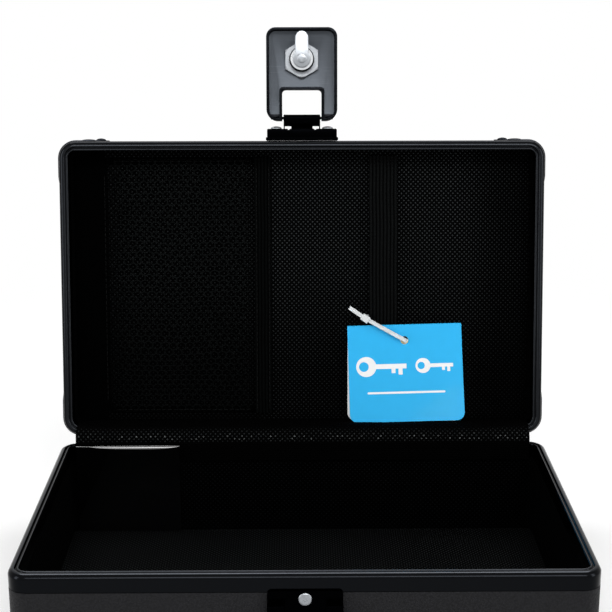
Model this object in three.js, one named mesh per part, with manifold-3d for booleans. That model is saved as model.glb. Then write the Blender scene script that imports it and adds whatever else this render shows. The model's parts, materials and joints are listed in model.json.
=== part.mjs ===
// A locking pencil box: a hard case with a rear-hinged lid, a key-locked hasp and fabric-lined halves.
// The lid stands open, and the hasp stands out from it.
// Millimetres, +Z up. The origin is the centre of the underside. +X is right, +Y points to the hinges.

import * as THREE from 'three';
import { mergeVertices } from 'three/addons/utils/BufferGeometryUtils.js';
import Module from 'manifold-3d';

// Case
const BOX_WIDTH = 208;
const BOX_DEPTH = 127;
const BASE_HEIGHT = 43;
const LID_HEIGHT = 20.2;
const CORNER_RADIUS = 7.3;
const EDGE_RADIUS = 2;
const BOARD = 2.6;
const PARTING_GAP = 0.3;
const SEAT_GAP = 0.3;

// Rims, with the base's tongue and the lid's groove
const RIM_WIDTH = 4.15;
const RIM_HEIGHT = 6.5;
const RIM_EDGE = 1.3;
const RIM_LIP = 0.4;
const TONGUE_INSET = 2.6;
const TONGUE_WIDTH = 0.5;
const TONGUE_HEIGHT = 0.8;
const TONGUE_PLAY = 0.25;

// Fabric lining
const LINING = 0.8;

// Pressed corner caps
const CAP_SHEET = 0.8;
const CAP_PROUD = 0.5;
const CAP_HEIGHT = 17.5;
const CAP_EDGE = 15;
const CAP_LOBE = 20.5;
const CAP_BUTTON_INSET = 11.6;
const CAP_BUTTON_RADIUS = 2.9;
const CAP_BUTTON_PROUD = 0.5;
const CAP_RIVET_INSET = 16.9;
const CAP_RIVET_RADIUS = 2.2;
const CAP_RIVET_HEAD = 0.9;

// Butt hinges
const LID_OPEN_ANGLE = 100;
const HINGE_OUT = 2;
const HINGE_END_GAP = 27;
const HINGE_LENGTH = 34;
const HINGE_LEAF_HEIGHT = 13;
const HINGE_SHEET = 0.8;
const HINGE_BARREL_RADIUS = 1.7;
const HINGE_PIN_RADIUS = 0.8;
const HINGE_RIVET_SPACING = 22;
const HINGE_RIVET_DROP = 8;
const PIN_PLAY = 0.15;
const BARREL_PLAY = 0.35;

// Rivets with a domed head
const RIVET_SHANK_RADIUS = 1.2;
const RIVET_HEAD_RADIUS = 2.4;
const RIVET_HEAD = 0.9;
const RIVET_BITE = 1.8;

// Hinge cover strip
const COVER_SIDE_GAP = 7.6;
const COVER_THICKNESS = 0.6;
const COVER_TUCK = 7;

// Latch plate on the lid's front wall
const LATCH_RISE = 10;
const LATCH_WIDTH = 31;
const LATCH_FOOT_HEIGHT = 14;
const LATCH_FOOT = 1.3;
const LATCH_FOOT_RADIUS = 1;
const LATCH_BODY_HEIGHT = 11;
const LATCH_BODY_MARGIN = 0.5;
const LATCH_BODY_OUT = 3.6;
const LATCH_BODY_RADIUS = 0.8;
const LATCH_CENTRE_WIDTH = 10.8;
const LATCH_SLOT = 0.5;
const LATCH_SLOT_DEPTH = 3;
const LATCH_RIVET_SPACING = 22.2;

// Hasp
const PIVOT_OUT = 9.9;
const KNUCKLE_WIDTH = 15.8;
const KNUCKLE_RADIUS = 1.5;
const KNUCKLE_REACH = 3.5;
const NECK_WIDTH = 9.2;
const HASP_PIN_RADIUS = 0.6;
const HASP_OPEN_ANGLE = 90;
const HASP_WIDTH = 30.5;
const HASP_LENGTH = 38.5;
const HASP_HEEL = 1.3;
const HASP_HEEL_RADIUS = 5;
const HASP_TIP_RADIUS = 4;
const HASP_SHEET = 1.2;
const HASP_WINDOW_WIDTH = 17;
const HASP_WINDOW_LENGTH = 12;
const HASP_PANEL_OUT = 1.6;
const HASP_FLANGE_IN = 3;
const HASP_LIP_WIDTH = 16;
const HASP_LIP = 1.6;

// Cam lock in the hasp
const LOCK_DROP = 25;
const BARREL_RADIUS = 5.3;
const BARREL_HEAD_RADIUS = 6.6;
const BARREL_HEAD = 1.4;
const BARREL_REACH = 5.7;
const BARREL_THREAD_PLAY = 0.3;
const NUT_ACROSS_FLATS = 14;
const NUT_THICKNESS = 2;
const PLUG_RADIUS = 3.3;
const PLUG_PLAY = 0.3;
const PLUG_END = 0.5;
const KEYWAY_WIDTH = 1.3;
const KEYWAY_LENGTH = 4.8;
const KEYWAY_DEPTH = 6;
const CAM_THICKNESS = 1.2;
const CAM_LENGTH = 11.5;
const CAM_WIDTH = 5.6;
const CAM_HUB_RADIUS = 3.8;
const CAM_SCREW_RADIUS = 1.1;
const CAM_SCREW_HEAD_RADIUS = 2;
const CAM_SCREW_HEAD = 0.5;
const CAM_SCREW_BITE = 2.5;

// Strike plate on the base's front wall
const STRIKE_SHEET = 0.8;
const STRIKE_HEIGHT = 18;
const STRIKE_RADIUS = 1.5;
const STRIKE_TAB_HEIGHT = 10;
const STRIKE_TAB = 1;
const STRIKE_TAB_REACH = 6.1;
const STRIKE_WALL_GAP = 0.9;
const STRIKE_CAM_GAP = 0.4;
const STRIKE_RIVET_SPACING = 12;
const STRIKE_RIVET_HEAD = 0.6;

// Mesh pocket in the lid, with its elastic binding
const NET_SIDE_GAP = 12.3;
const NET_END_GAP = 3.3;
const NET_WIDTH = 66.7;
const NET_THICKNESS = 0.6;
const NET_RADIUS = 1;
const NET_HEM = 2.4;
const NET_STRAND = 1.3;
const NET_COLUMNS = 9;
const NET_ROWS = 14;
const BINDING_WIDTH = 7.4;
const BINDING_THICKNESS = 1.5;
const BINDING_EDGE = 0.3;

// Elastic strap in the lid
const STRAP_SIDE_GAP = 58.5;
const STRAP_END_GAP = 2.8;
const STRAP_WIDTH = 12.4;
const STRAP_THICKNESS = 1.2;
const STRAP_RISE = 2.2;

// Key tag: a folded card that stands on the lid's lower wall and leans on the strap
const TAG_WIDTH = 50;
const TAG_HEIGHT = 43.5;
const TAG_THICKNESS = 1.4;
const TAG_RADIUS = 3.5;
const TAG_FOLD_RADIUS = 0.5;
const TAG_FROM_STRAP = 10.3;
const TAG_FOOT_DEPTH = 4.2;
const TAG_LEAN = 7.8;
const TAG_HOLE_RADIUS = 1.75;
const TAG_HOLE_FROM_LEFT = 24.2;
const TAG_HOLE_FROM_TOP = 7;

// Tie that holds the tag and the keys to the strap
const TIE_RADIUS = 0.75;
const TIE_HEAD = 3.6;
const TIE_HEAD_THICKNESS = 2.4;
const TIE_HEAD_TURN = 22.5;
const TIE_HEAD_RISE = 8.6;
const TIE_TAIL = 8.6;
const TIE_CLEARANCE = 0.9;

// Keys
const KEY_THICKNESS = 1.2;
const KEY_BOW_RADIUS = 6.8;
const KEY_HOLE_RADIUS = 1.8;
const KEY_HOLE_EDGE = 1.7;
const KEY_BLADE_WIDTH = 5;
const KEY_BLADE_LENGTH = 17;
const KEY_CUT_DEPTHS = [1.2, 2, 0.8, 1.6];
const KEY_CUT_WIDTH = 2.8;
const KEY_CUT_ROOT = 0.6;
const KEY_STACK_GAP = 0.3;
const KEY_SPREAD = 9;
const KEY_TURN = 47;

// Folded card in the base
const CARD_WIDTH = 52;
const CARD_HEIGHT = 37.4;
const CARD_THICKNESS = 1.2;
const CARD_RADIUS = 0.5;
const CARD_LEFT_GAP = 1.4;
const CARD_REAR_GAP = 0.5;

// Facets
const CORNER_STEPS = 5;
const ROUND_STEPS = 2;
const ROUND_SIDES = 20;
const SMALL_SIDES = 12;
const BOW_STEPS = 18;
const STRAP_STEPS = 12;
const TIE_STEPS = 48;
const TIE_TAIL_STEPS = 4;
const TIE_SIDES_PER_CURVE = 3;
const SHARP = 0.1;
const MIN_CORNER_RADIUS = 0.6;
const CUT_MARGIN = 4;
const CUT_OVER = 1;

// Places that follow from the sizes
const FRONT_Y = -BOX_DEPTH / 2;
const REAR_Y = BOX_DEPTH / 2;
const LID_RIM_Z = BASE_HEIGHT + PARTING_GAP;
const HINGE_Y = REAR_Y + HINGE_OUT;
const LATCH_Z = LID_RIM_Z + LATCH_RISE;
const LOCK_Z = LATCH_Z - LOCK_DROP;
const LATCH_FACE_OUT = SEAT_GAP + LATCH_FOOT + LATCH_BODY_OUT;
const PANEL_OUTER = HASP_PANEL_OUT + HASP_SHEET;
const CAM_NEAR = BARREL_REACH + PLUG_END + SEAT_GAP;
const STRIKE_TAB_OUT = PIVOT_OUT - CAM_NEAR + STRIKE_CAM_GAP;
const LID_FLOOR_DEPTH = LID_HEIGHT - BOARD - SEAT_GAP - LINING;
const INNER_INSET = BOARD + SEAT_GAP + LINING;
const HINGE_X = BOX_WIDTH / 2 - HINGE_END_GAP - HINGE_LENGTH / 2;
const NET_LEFT = -BOX_WIDTH / 2 + INNER_INSET + NET_SIDE_GAP;
const NET_HEIGHT = BOX_DEPTH - 2 * (INNER_INSET + NET_END_GAP);
const STRAP_X = BOX_WIDTH / 2 - INNER_INSET - STRAP_SIDE_GAP - STRAP_WIDTH / 2;
const STRAP_LENGTH = BOX_DEPTH - 2 * (INNER_INSET + STRAP_END_GAP);
const TAG_X = STRAP_X + TAG_FROM_STRAP;
const BASE_FLOOR_Z = BOARD + SEAT_GAP + LINING;

// The two halves: `height` from the parting plane to the far face, `z` of a depth behind that plane
const BASE = { height: BASE_HEIGHT, z: (depth) => BASE_HEIGHT - depth };
const LID = { height: LID_HEIGHT, z: (depth) => LID_RIM_Z + depth };

const wasm = await Module();
wasm.setup();

function finish(color, roughness, metalness) {
  return new THREE.MeshStandardMaterial({ color, roughness, metalness });
}

const FINISHES = {
  board: finish(0x15161a, 0.5, 0.1),
  rim: finish(0x1a1b1e, 0.3, 0.7),
  lining: finish(0x0d0e0f, 0.9, 0),
  cap: finish(0x24262a, 0.35, 0.8),
  steel: finish(0x6d7378, 0.35, 0.9),
  latch: finish(0x2a2d31, 0.35, 0.8),
  brass: finish(0xa58b4f, 0.35, 0.9),
  chrome: finish(0xc6cace, 0.15, 1),
  net: finish(0x1b1c1e, 0.9, 0),
  elastic: finish(0x16171a, 0.85, 0),
  tag: finish(0x0b6fc2, 0.45, 0),
  nylon: finish(0xdfe3e4, 0.4, 0),
  card: finish(0x08090a, 0.15, 0),
};

// Solids

/** A closed geometry as a solid, with its shared vertices merged. */
function solidOf(geometry) {
  const bare = geometry.clone();
  for (const name of ['normal', 'uv']) {
    if (bare.getAttribute(name)) bare.deleteAttribute(name);
  }
  const merged = mergeVertices(bare, 1e-5);
  const corners = [];
  const index = merged.index.array;
  for (let i = 0; i < index.length; i += 3) {
    const [a, b, c] = [index[i], index[i + 1], index[i + 2]];
    if (a !== b && b !== c && c !== a) corners.push(a, b, c);
  }
  const vertProperties = new Float32Array(merged.attributes.position.array);
  const triVerts = new Uint32Array(corners);
  return new wasm.Manifold(new wasm.Mesh({ numProp: 3, vertProperties, triVerts }));
}

function geometryOf(solid) {
  const mesh = solid.getMesh();
  const geometry = new THREE.BufferGeometry();
  geometry.setAttribute('position', new THREE.BufferAttribute(new Float32Array(mesh.vertProperties), 3));
  geometry.setIndex(new THREE.BufferAttribute(new Uint32Array(mesh.triVerts), 1));
  geometry.computeVertexNormals();
  return geometry;
}

function join(first, ...others) {
  return geometryOf(others.reduce((sum, piece) => sum.add(solidOf(piece)), solidOf(first)));
}

function cut(body, ...tools) {
  return geometryOf(tools.reduce((rest, tool) => rest.subtract(solidOf(tool)), solidOf(body)));
}

function common(first, second) {
  return geometryOf(solidOf(first).intersect(solidOf(second)));
}

/** The two ends of a length laid evenly about a middle. */
const about = (middle, length) => [middle - length / 2, middle + length / 2];

/** A box between two values on each axis, given in either order. */
function block([x0, x1], [y0, y1], [z0, z1]) {
  const box = new THREE.BoxGeometry(Math.abs(x1 - x0), Math.abs(y1 - y0), Math.abs(z1 - z0));
  return box.translate((x0 + x1) / 2, (y0 + y1) / 2, (z0 + z1) / 2);
}

/** A rod along an axis ('x', 'y' or 'z') between two values, centred on the two other coordinates. */
function rod(axis, [from, to], [a, b], radius, sides = SMALL_SIDES) {
  const geometry = new THREE.CylinderGeometry(radius, radius, Math.abs(to - from), sides);
  const middle = (from + to) / 2;
  if (axis === 'x') return geometry.rotateZ(Math.PI / 2).translate(middle, a, b);
  if (axis === 'y') return geometry.translate(a, middle, b);
  return geometry.rotateX(Math.PI / 2).translate(a, b, middle);
}

/** A flat outline pushed along an axis: 'x' takes it as (y, z), 'y' as (x, z), and 'z' as (x, y). */
function extrude(shape, axis, [from, to], curveSegments = ROUND_STEPS * 2) {
  const [low, high] = [Math.min(from, to), Math.max(from, to)];
  const options = { depth: high - low, bevelEnabled: false, curveSegments };
  const geometry = new THREE.ExtrudeGeometry(shape, options);
  const [x, y, z] = [new THREE.Vector3(1, 0, 0), new THREE.Vector3(0, 1, 0), new THREE.Vector3(0, 0, 1)];
  const frame = new THREE.Matrix4();
  if (axis === 'x') return geometry.applyMatrix4(frame.makeBasis(y, z, x)).translate(low, 0, 0);
  if (axis === 'y') return geometry.applyMatrix4(frame.makeBasis(x, z, y.negate())).translate(0, high, 0);
  return geometry.translate(0, 0, low);
}

/** Points of a circular arc, angles in degrees. */
function arcPoints([a, b], radius, start, end, steps = ROUND_STEPS) {
  const points = [];
  for (let i = 0; i <= steps; i++) {
    const angle = THREE.MathUtils.degToRad(start + ((end - start) * i) / steps);
    points.push([a + radius * Math.cos(angle), b + radius * Math.sin(angle)]);
  }
  return points;
}

function shapeOf(points) {
  return new THREE.Shape(points.map(([a, b]) => new THREE.Vector2(a, b)));
}

/** A rectangle with rounded corners: radii at the low end and at the high end of its second axis. */
function roundedRectangle([a0, a1], [b0, b1], lowRadius, highRadius = lowRadius) {
  const shape = new THREE.Shape();
  shape.moveTo(a0 + lowRadius, b0);
  shape.lineTo(a1 - lowRadius, b0);
  shape.absarc(a1 - lowRadius, b0 + lowRadius, lowRadius, -Math.PI / 2, 0);
  shape.lineTo(a1, b1 - highRadius);
  shape.absarc(a1 - highRadius, b1 - highRadius, highRadius, 0, Math.PI / 2);
  shape.lineTo(a0 + highRadius, b1);
  shape.absarc(a0 + highRadius, b1 - highRadius, highRadius, Math.PI / 2, Math.PI);
  shape.lineTo(a0, b0 + lowRadius);
  shape.absarc(a0 + lowRadius, b0 + lowRadius, lowRadius, Math.PI, Math.PI * 1.5);
  return shape;
}

function circlePath([a, b], radius) {
  const path = new THREE.Path();
  path.absarc(a, b, radius, 0, Math.PI * 2);
  return path;
}

/** The outline of a band of even thickness along a route of points. */
function bandShape(route, thickness) {
  const points = route.map(([a, b]) => new THREE.Vector2(a, b));
  const sides = [[], []];
  points.forEach((point, i) => {
    const before = point.clone().sub(points[Math.max(i - 1, 0)]);
    const after = points[Math.min(i + 1, points.length - 1)].clone().sub(point);
    const way = before.normalize().add(after.normalize()).normalize();
    const half = i > 0 && i < points.length - 1 ? thickness / 2 / way.dot(after) : thickness / 2;
    const across = new THREE.Vector2(-way.y, way.x).multiplyScalar(half);
    sides[0].push(point.clone().add(across));
    sides[1].unshift(point.clone().sub(across));
  });
  return new THREE.Shape([...sides[0], ...sides[1]]);
}

/** Sweeps a profile of [inset, z] points round the case's outline. An open profile gets flat ends. */
function sweepCase(profile, closed) {
  const positions = [];
  const count = 4 * (CORNER_STEPS + 1);
  for (const [inset, z] of profile) {
    const radius = Math.max(CORNER_RADIUS - inset, MIN_CORNER_RADIUS);
    const reachX = BOX_WIDTH / 2 - inset - radius;
    const reachY = BOX_DEPTH / 2 - inset - radius;
    for (let corner = 0; corner < 4; corner++) {
      const centreX = corner === 0 || corner === 3 ? reachX : -reachX;
      const centreY = corner < 2 ? reachY : -reachY;
      for (let step = 0; step <= CORNER_STEPS; step++) {
        const angle = ((corner + step / CORNER_STEPS) * Math.PI) / 2;
        positions.push(centreX + radius * Math.cos(angle), centreY + radius * Math.sin(angle), z);
      }
    }
  }
  const index = [];
  const bands = closed ? profile.length : profile.length - 1;
  for (let band = 0; band < bands; band++) {
    const near = band * count;
    const far = ((band + 1) % profile.length) * count;
    for (let i = 0; i < count; i++) {
      const next = (i + 1) % count;
      index.push(near + i, near + next, far + next, near + i, far + next, far + i);
    }
  }
  if (!closed) {
    const last = (profile.length - 1) * count;
    for (let i = 1; i < count - 1; i++) {
      index.push(0, i + 1, i, last, last + i, last + i + 1);
    }
  }
  return outward(positions, index);
}

/** A geometry from positions and triangles, turned so that its faces point out. */
function outward(positions, index) {
  let volume = 0;
  const at = (i) => new THREE.Vector3().fromArray(positions, index[i] * 3);
  for (let i = 0; i < index.length; i += 3) volume += at(i).dot(at(i + 1).cross(at(i + 2)));
  const geometry = new THREE.BufferGeometry();
  geometry.setAttribute('position', new THREE.Float32BufferAttribute(positions, 3));
  geometry.setIndex(volume < 0 ? [...index].reverse() : index);
  return geometry;
}

/** A rivet along +Z: a domed head on the plane z = 0, and a shank below it. */
function rivet(headRadius, headHeight, shankRadius, shankLength) {
  const shank = [[0, -shankLength], [shankRadius, -shankLength], [shankRadius, 0]];
  const dome = arcPoints([0, 0], 1, 0, 90).map(([a, b]) => [a * headRadius, b * headHeight]);
  dome[dome.length - 1][0] = 0;
  const profile = [...shank, ...dome].map(([radius, height]) => new THREE.Vector2(radius, height));
  return new THREE.LatheGeometry(profile, SMALL_SIDES).rotateX(Math.PI / 2);
}

// Case halves

/** A solid block of a half: its side faces and its far face moved in by `side` and `far`. */
function halfBlock(half, side, far, nearDepth = 0) {
  const end = half.height - far;
  const edge = arcPoints([side + EDGE_RADIUS, end - EDGE_RADIUS], EDGE_RADIUS, 90, 180);
  return sweepCase([...edge, [side, nearDepth]].map(([inset, depth]) => [inset, half.z(depth)]), false);
}

/** The room inside a half's board, with a square edge round its floor. */
function halfCavity(half) {
  return sweepCase([[BOARD, half.z(half.height - BOARD)], [BOARD, half.z(-CUT_MARGIN)]], false);
}

/** The outline of a cap's lobe on a side face: `along` the wall and `up` from the far face. */
function lobeShape(grow) {
  const middle = CAP_HEIGHT / 2;
  const bulge = CAP_LOBE - CAP_EDGE;
  const radius = (middle * middle + bulge * bulge) / (2 * bulge);
  const half = THREE.MathUtils.radToDeg(Math.asin(middle / radius));
  const points = arcPoints([CAP_LOBE - radius, middle], radius + grow, -half, half, ROUND_STEPS * 2);
  const top = points[points.length - 1][1];
  return [[-CUT_MARGIN, -CUT_MARGIN], [points[0][0], -CUT_MARGIN], ...points, [-CUT_MARGIN, top]];
}

/** The space of one corner cap: three lobes that meet at the corner (signX, signY). */
function capRegion(half, signX, signY, grow) {
  const cornerX = (signX * BOX_WIDTH) / 2;
  const cornerY = (signY * BOX_DEPTH) / 2;
  const lobe = lobeShape(grow);
  const upZ = (up) => half.z(half.height - up);
  const alongX = shapeOf(lobe.map(([along, up]) => [cornerX - signX * along, upZ(up)]));
  const alongY = shapeOf(lobe.map(([along, up]) => [cornerY - signY * along, upZ(up)]));
  const fan = [...arcPoints([BOARD, BOARD], CAP_EDGE - BOARD + grow, 0, 90, ROUND_STEPS * 2)];
  const first = [CAP_EDGE + grow, -CUT_MARGIN];
  const last = [-CUT_MARGIN, CAP_EDGE + grow];
  const farPoints = [[-CUT_MARGIN, -CUT_MARGIN], first, ...fan, last];
  const farShape = shapeOf(farPoints.map(([a, b]) => [cornerX - signX * a, cornerY - signY * b]));
  return join(
    extrude(alongX, 'y', [cornerY + signY * CUT_MARGIN, cornerY - signY * BOARD]),
    extrude(alongY, 'x', [cornerX + signX * CUT_MARGIN, cornerX - signX * BOARD]),
    extrude(farShape, 'z', [upZ(-CUT_MARGIN), upZ(BOARD)]),
  );
}

/** A domed rivet head, or a pressed button, on a side face of a corner cap. */
function capKnob(half, signX, signY, onFront, inset, radius, proud) {
  const sunk = CAP_SHEET / 2;
  const knob = rivet(radius, proud + sunk, radius / 2, sunk / 2).translate(0, 0, CAP_PROUD - sunk);
  const up = half.z(half.height - CAP_HEIGHT / 2);
  const [halfX, halfY] = [BOX_WIDTH / 2, BOX_DEPTH / 2];
  return onFront
    ? knob.rotateX((-signY * Math.PI) / 2).translate(signX * (halfX - inset), signY * halfY, up)
    : knob.rotateY((signX * Math.PI) / 2).translate(signX * halfX, signY * (halfY - inset), up);
}

function cornerCap(half, signX, signY) {
  const inner = halfBlock(half, CAP_SHEET - CAP_PROUD, CAP_SHEET, -CUT_MARGIN);
  const sheet = cut(halfBlock(half, -CAP_PROUD, 0), inner);
  const knobs = [true, false].flatMap((onFront) => [
    capKnob(half, signX, signY, onFront, CAP_RIVET_INSET, CAP_RIVET_RADIUS, CAP_RIVET_HEAD),
    capKnob(half, signX, signY, onFront, CAP_BUTTON_INSET, CAP_BUTTON_RADIUS, CAP_BUTTON_PROUD),
  ]);
  return join(common(sheet, capRegion(half, signX, signY, 0)), ...knobs);
}

const CORNERS = [
  ['front_left', -1, -1],
  ['front_right', 1, -1],
  ['rear_left', -1, 1],
  ['rear_right', 1, 1],
];

/** What is taken off a half at its corners, so that the caps sit partly sunk. */
function capRebates(half) {
  const seat = halfBlock(half, CAP_SHEET - CAP_PROUD + SEAT_GAP, CAP_SHEET + SEAT_GAP, -CUT_MARGIN);
  return CORNERS.map(([, signX, signY]) => cut(capRegion(half, signX, signY, SEAT_GAP), seat));
}

/** A half's tub of board, rebated at its corners for the caps and drilled for its rivets. */
function shell(half, holes) {
  const outer = halfBlock(half, 0, 0, RIM_HEIGHT + SEAT_GAP);
  return cut(outer, halfCavity(half), ...capRebates(half), ...holes);
}

/** A half's rim. `key` is what stands on its face or is cut into it: points from the outside inwards. */
function rim(half, key) {
  const profile = [
    [0, RIM_HEIGHT],
    ...arcPoints([RIM_EDGE, RIM_EDGE], RIM_EDGE, 180, 270),
    ...key,
    [RIM_WIDTH - RIM_LIP, 0],
    [RIM_WIDTH, RIM_LIP],
    [RIM_WIDTH, RIM_HEIGHT],
  ];
  const ring = sweepCase(profile.map(([inset, depth]) => [inset, half.z(depth)]), true);
  return half.height - CAP_HEIGHT < RIM_HEIGHT ? cut(ring, ...capRebates(half)) : ring;
}

function tongue() {
  const inner = TONGUE_INSET + TONGUE_WIDTH;
  return [[TONGUE_INSET, 0], [TONGUE_INSET, -TONGUE_HEIGHT], [inner, -TONGUE_HEIGHT], [inner, 0]];
}

function groove() {
  const outer = TONGUE_INSET - TONGUE_PLAY;
  const inner = TONGUE_INSET + TONGUE_WIDTH + TONGUE_PLAY;
  const depth = TONGUE_HEIGHT + TONGUE_PLAY;
  return [[outer, 0], [outer, depth], [inner, depth], [inner, 0]];
}

function wallLining(half) {
  const outer = BOARD + SEAT_GAP;
  const top = RIM_HEIGHT + SEAT_GAP;
  const bottom = half.height - BOARD - SEAT_GAP;
  const profile = [[outer, top], [outer, bottom], [INNER_INSET, bottom], [INNER_INSET, top]];
  return sweepCase(profile.map(([inset, depth]) => [inset, half.z(depth)]), true);
}

function floorLining(half) {
  const inset = INNER_INSET + SEAT_GAP;
  const back = half.height - BOARD - SEAT_GAP;
  return sweepCase([[inset, half.z(back)], [inset, half.z(back - LINING)]], false);
}

// Hinges

const HINGES = [['left', -HINGE_X], ['right', HINGE_X]];
const HINGE_RIVETS = [-HINGE_RIVET_SPACING / 2, HINGE_RIVET_SPACING / 2];

/** A hinge leaf on the rear wall. `side` is 1 for the lid's leaf, above the pin, and -1 for the base's. */
function hingeLeaf(x, side) {
  const [left, right] = [x - HINGE_LENGTH / 2, x + HINGE_LENGTH / 2];
  const third = HINGE_LENGTH / 3;
  const [innerLeft, innerRight] = [x - third / 2, x + third / 2];
  const back = REAR_Y + SEAT_GAP;
  const tip = BASE_HEIGHT + side * HINGE_LEAF_HEIGHT;
  const sheet = block([left, right], [back, back + HINGE_SHEET], [BASE_HEIGHT, tip]);
  const ownBarrels = side > 0 ? [[innerLeft, innerRight]] : [[left, innerLeft], [innerRight, right]];
  const otherBarrels = side > 0 ? [[left, innerLeft], [innerRight, right]] : [[innerLeft, innerRight]];
  const axis = [HINGE_Y, BASE_HEIGHT];
  const barrels = ownBarrels.map(([from, to]) => {
    const start = from === left ? from : from + BARREL_PLAY / 2;
    const end = to === right ? to : to - BARREL_PLAY / 2;
    return rod('x', [start, end], axis, HINGE_BARREL_RADIUS);
  });
  const notch = [BASE_HEIGHT - side * CUT_OVER, BASE_HEIGHT + side * (HINGE_BARREL_RADIUS + BARREL_PLAY)];
  const through = [back - CUT_OVER, back + HINGE_SHEET + CUT_OVER];
  const notches = otherBarrels.map(([from, to]) => {
    const start = from === left ? from - CUT_MARGIN : from - BARREL_PLAY / 2;
    const end = to === right ? to + CUT_MARGIN : to + BARREL_PLAY / 2;
    return block([start, end], through, notch);
  });
  const bore = rod('x', [left - CUT_OVER, right + CUT_OVER], axis, HINGE_PIN_RADIUS + PIN_PLAY);
  const holeRadius = RIVET_SHANK_RADIUS + SEAT_GAP;
  const drill = rivetPlaces(x, side).map((place) => rod('y', through, place, holeRadius));
  return cut(join(cut(sheet, ...notches), ...barrels), bore, ...drill);
}

function rivetPlaces(x, side) {
  return HINGE_RIVETS.map((offset) => [x + offset, BASE_HEIGHT + side * HINGE_RIVET_DROP]);
}

/** Blind holes in the rear wall for one half's hinge rivets. */
function hingeHoles(side) {
  const radius = RIVET_SHANK_RADIUS + SEAT_GAP;
  const depth = RIVET_BITE + SEAT_GAP;
  return HINGES.flatMap(([, x]) => rivetPlaces(x, side))
    .map(([x, z]) => rod('y', [REAR_Y - depth, REAR_Y + CUT_OVER], [x, z], radius));
}

function hingePin(x) {
  return rod('x', [x - HINGE_LENGTH / 2, x + HINGE_LENGTH / 2], [HINGE_Y, BASE_HEIGHT], HINGE_PIN_RADIUS);
}

function hingeRivet(x, z) {
  const shank = HINGE_SHEET + SEAT_GAP * 2 + RIVET_BITE;
  const face = REAR_Y + SEAT_GAP * 2 + HINGE_SHEET;
  return rivet(RIVET_HEAD_RADIUS, RIVET_HEAD, RIVET_SHANK_RADIUS, shank)
    .rotateX(-Math.PI / 2)
    .translate(x, face, z);
}

/** A point (y, z) of the closed lid, turned to where it is when the lid is open. */
function openLidPoint([y, z]) {
  const angle = THREE.MathUtils.degToRad(-LID_OPEN_ANGLE);
  const pin = new THREE.Vector2(HINGE_Y, BASE_HEIGHT);
  return new THREE.Vector2(y, z).rotateAround(pin, angle).toArray();
}

/** The fabric strip that bridges the two rims over the hinges, inside. */
function hingeCover() {
  const y = REAR_Y - RIM_WIDTH - SEAT_GAP - COVER_THICKNESS / 2;
  const half = BOX_WIDTH / 2 - COVER_SIDE_GAP;
  const route = [
    [y, BASE_HEIGHT - COVER_TUCK],
    [y, BASE_HEIGHT + SEAT_GAP],
    openLidPoint([y, LID_RIM_Z]),
    openLidPoint([y, LID_RIM_Z + COVER_TUCK]),
  ];
  return extrude(bandShape(route, COVER_THICKNESS), 'x', [-half, half]);
}

// Latch on the lid's front wall

const outY = (distance) => FRONT_Y - distance;
const LATCH_RIVETS = [['left', -LATCH_RIVET_SPACING / 2], ['right', LATCH_RIVET_SPACING / 2]];

function latchPlate() {
  const half = LATCH_WIDTH / 2;
  const foot = extrude(
    roundedRectangle([-half, half], about(LATCH_Z, LATCH_FOOT_HEIGHT), LATCH_FOOT_RADIUS),
    'y', [outY(SEAT_GAP), outY(SEAT_GAP + LATCH_FOOT)],
  );
  const bodyHalf = half - LATCH_BODY_MARGIN;
  const [face, back] = [outY(LATCH_FACE_OUT), outY(SEAT_GAP)];
  const body = extrude(
    roundedRectangle([-bodyHalf, bodyHalf], [face, back], LATCH_BODY_RADIUS, SHARP),
    'z', about(LATCH_Z, LATCH_BODY_HEIGHT),
  );
  const slots = [-1, 1].map((side) => {
    const x = (side * LATCH_CENTRE_WIDTH) / 2;
    const reach = [outY(LATCH_FACE_OUT - LATCH_SLOT_DEPTH), outY(LATCH_FACE_OUT + CUT_OVER)];
    return block([x, x + side * LATCH_SLOT], reach, about(LATCH_Z, LATCH_BODY_HEIGHT * 2));
  });
  const drill = LATCH_RIVETS.map(([, x]) =>
    rod('y', [outY(LATCH_FACE_OUT + CUT_OVER), outY(0)], [x, LATCH_Z], RIVET_SHANK_RADIUS + SEAT_GAP));
  return cut(join(foot, body), ...slots, ...drill);
}

function latchRivet(x) {
  const shank = LATCH_FACE_OUT + SEAT_GAP + RIVET_BITE;
  return rivet(RIVET_HEAD_RADIUS, RIVET_HEAD, RIVET_SHANK_RADIUS, shank)
    .rotateX(Math.PI / 2)
    .translate(x, outY(LATCH_FACE_OUT + SEAT_GAP), LATCH_Z);
}

function latchHoles() {
  return LATCH_RIVETS.map(([, x]) =>
    rod('y', [outY(CUT_OVER), outY(-RIVET_BITE - SEAT_GAP)], [x, LATCH_Z], RIVET_SHANK_RADIUS + SEAT_GAP));
}

/** The block that carries the hasp pin, on a narrower neck. */
function latchKnuckle() {
  const half = KNUCKLE_WIDTH / 2;
  const nearEnd = outY(PIVOT_OUT - KNUCKLE_REACH);
  const depth = about(LATCH_Z, KNUCKLE_RADIUS * 2);
  return cut(
    join(
      block([-half, half], [nearEnd, outY(PIVOT_OUT)], depth),
      rod('x', [-half, half], [outY(PIVOT_OUT), LATCH_Z], KNUCKLE_RADIUS, ROUND_SIDES),
      block(about(0, NECK_WIDTH), [outY(LATCH_FACE_OUT + SEAT_GAP), nearEnd - CUT_OVER], depth),
    ),
    rod('x', [-half - CUT_OVER, half + CUT_OVER], [outY(PIVOT_OUT), LATCH_Z], HASP_PIN_RADIUS + PIN_PLAY),
  );
}

function haspPin() {
  const half = HASP_WIDTH / 2 - PIN_PLAY;
  return rod('x', [-half, half], [outY(PIVOT_OUT), LATCH_Z], HASP_PIN_RADIUS);
}

// Hasp and cam lock, modelled hanging down, with the hasp pin along X through their origin

const LOCK_AXIS = [0, -LOCK_DROP];
const LOCK_FACE = -PANEL_OUTER - SEAT_GAP - BARREL_HEAD;

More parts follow.
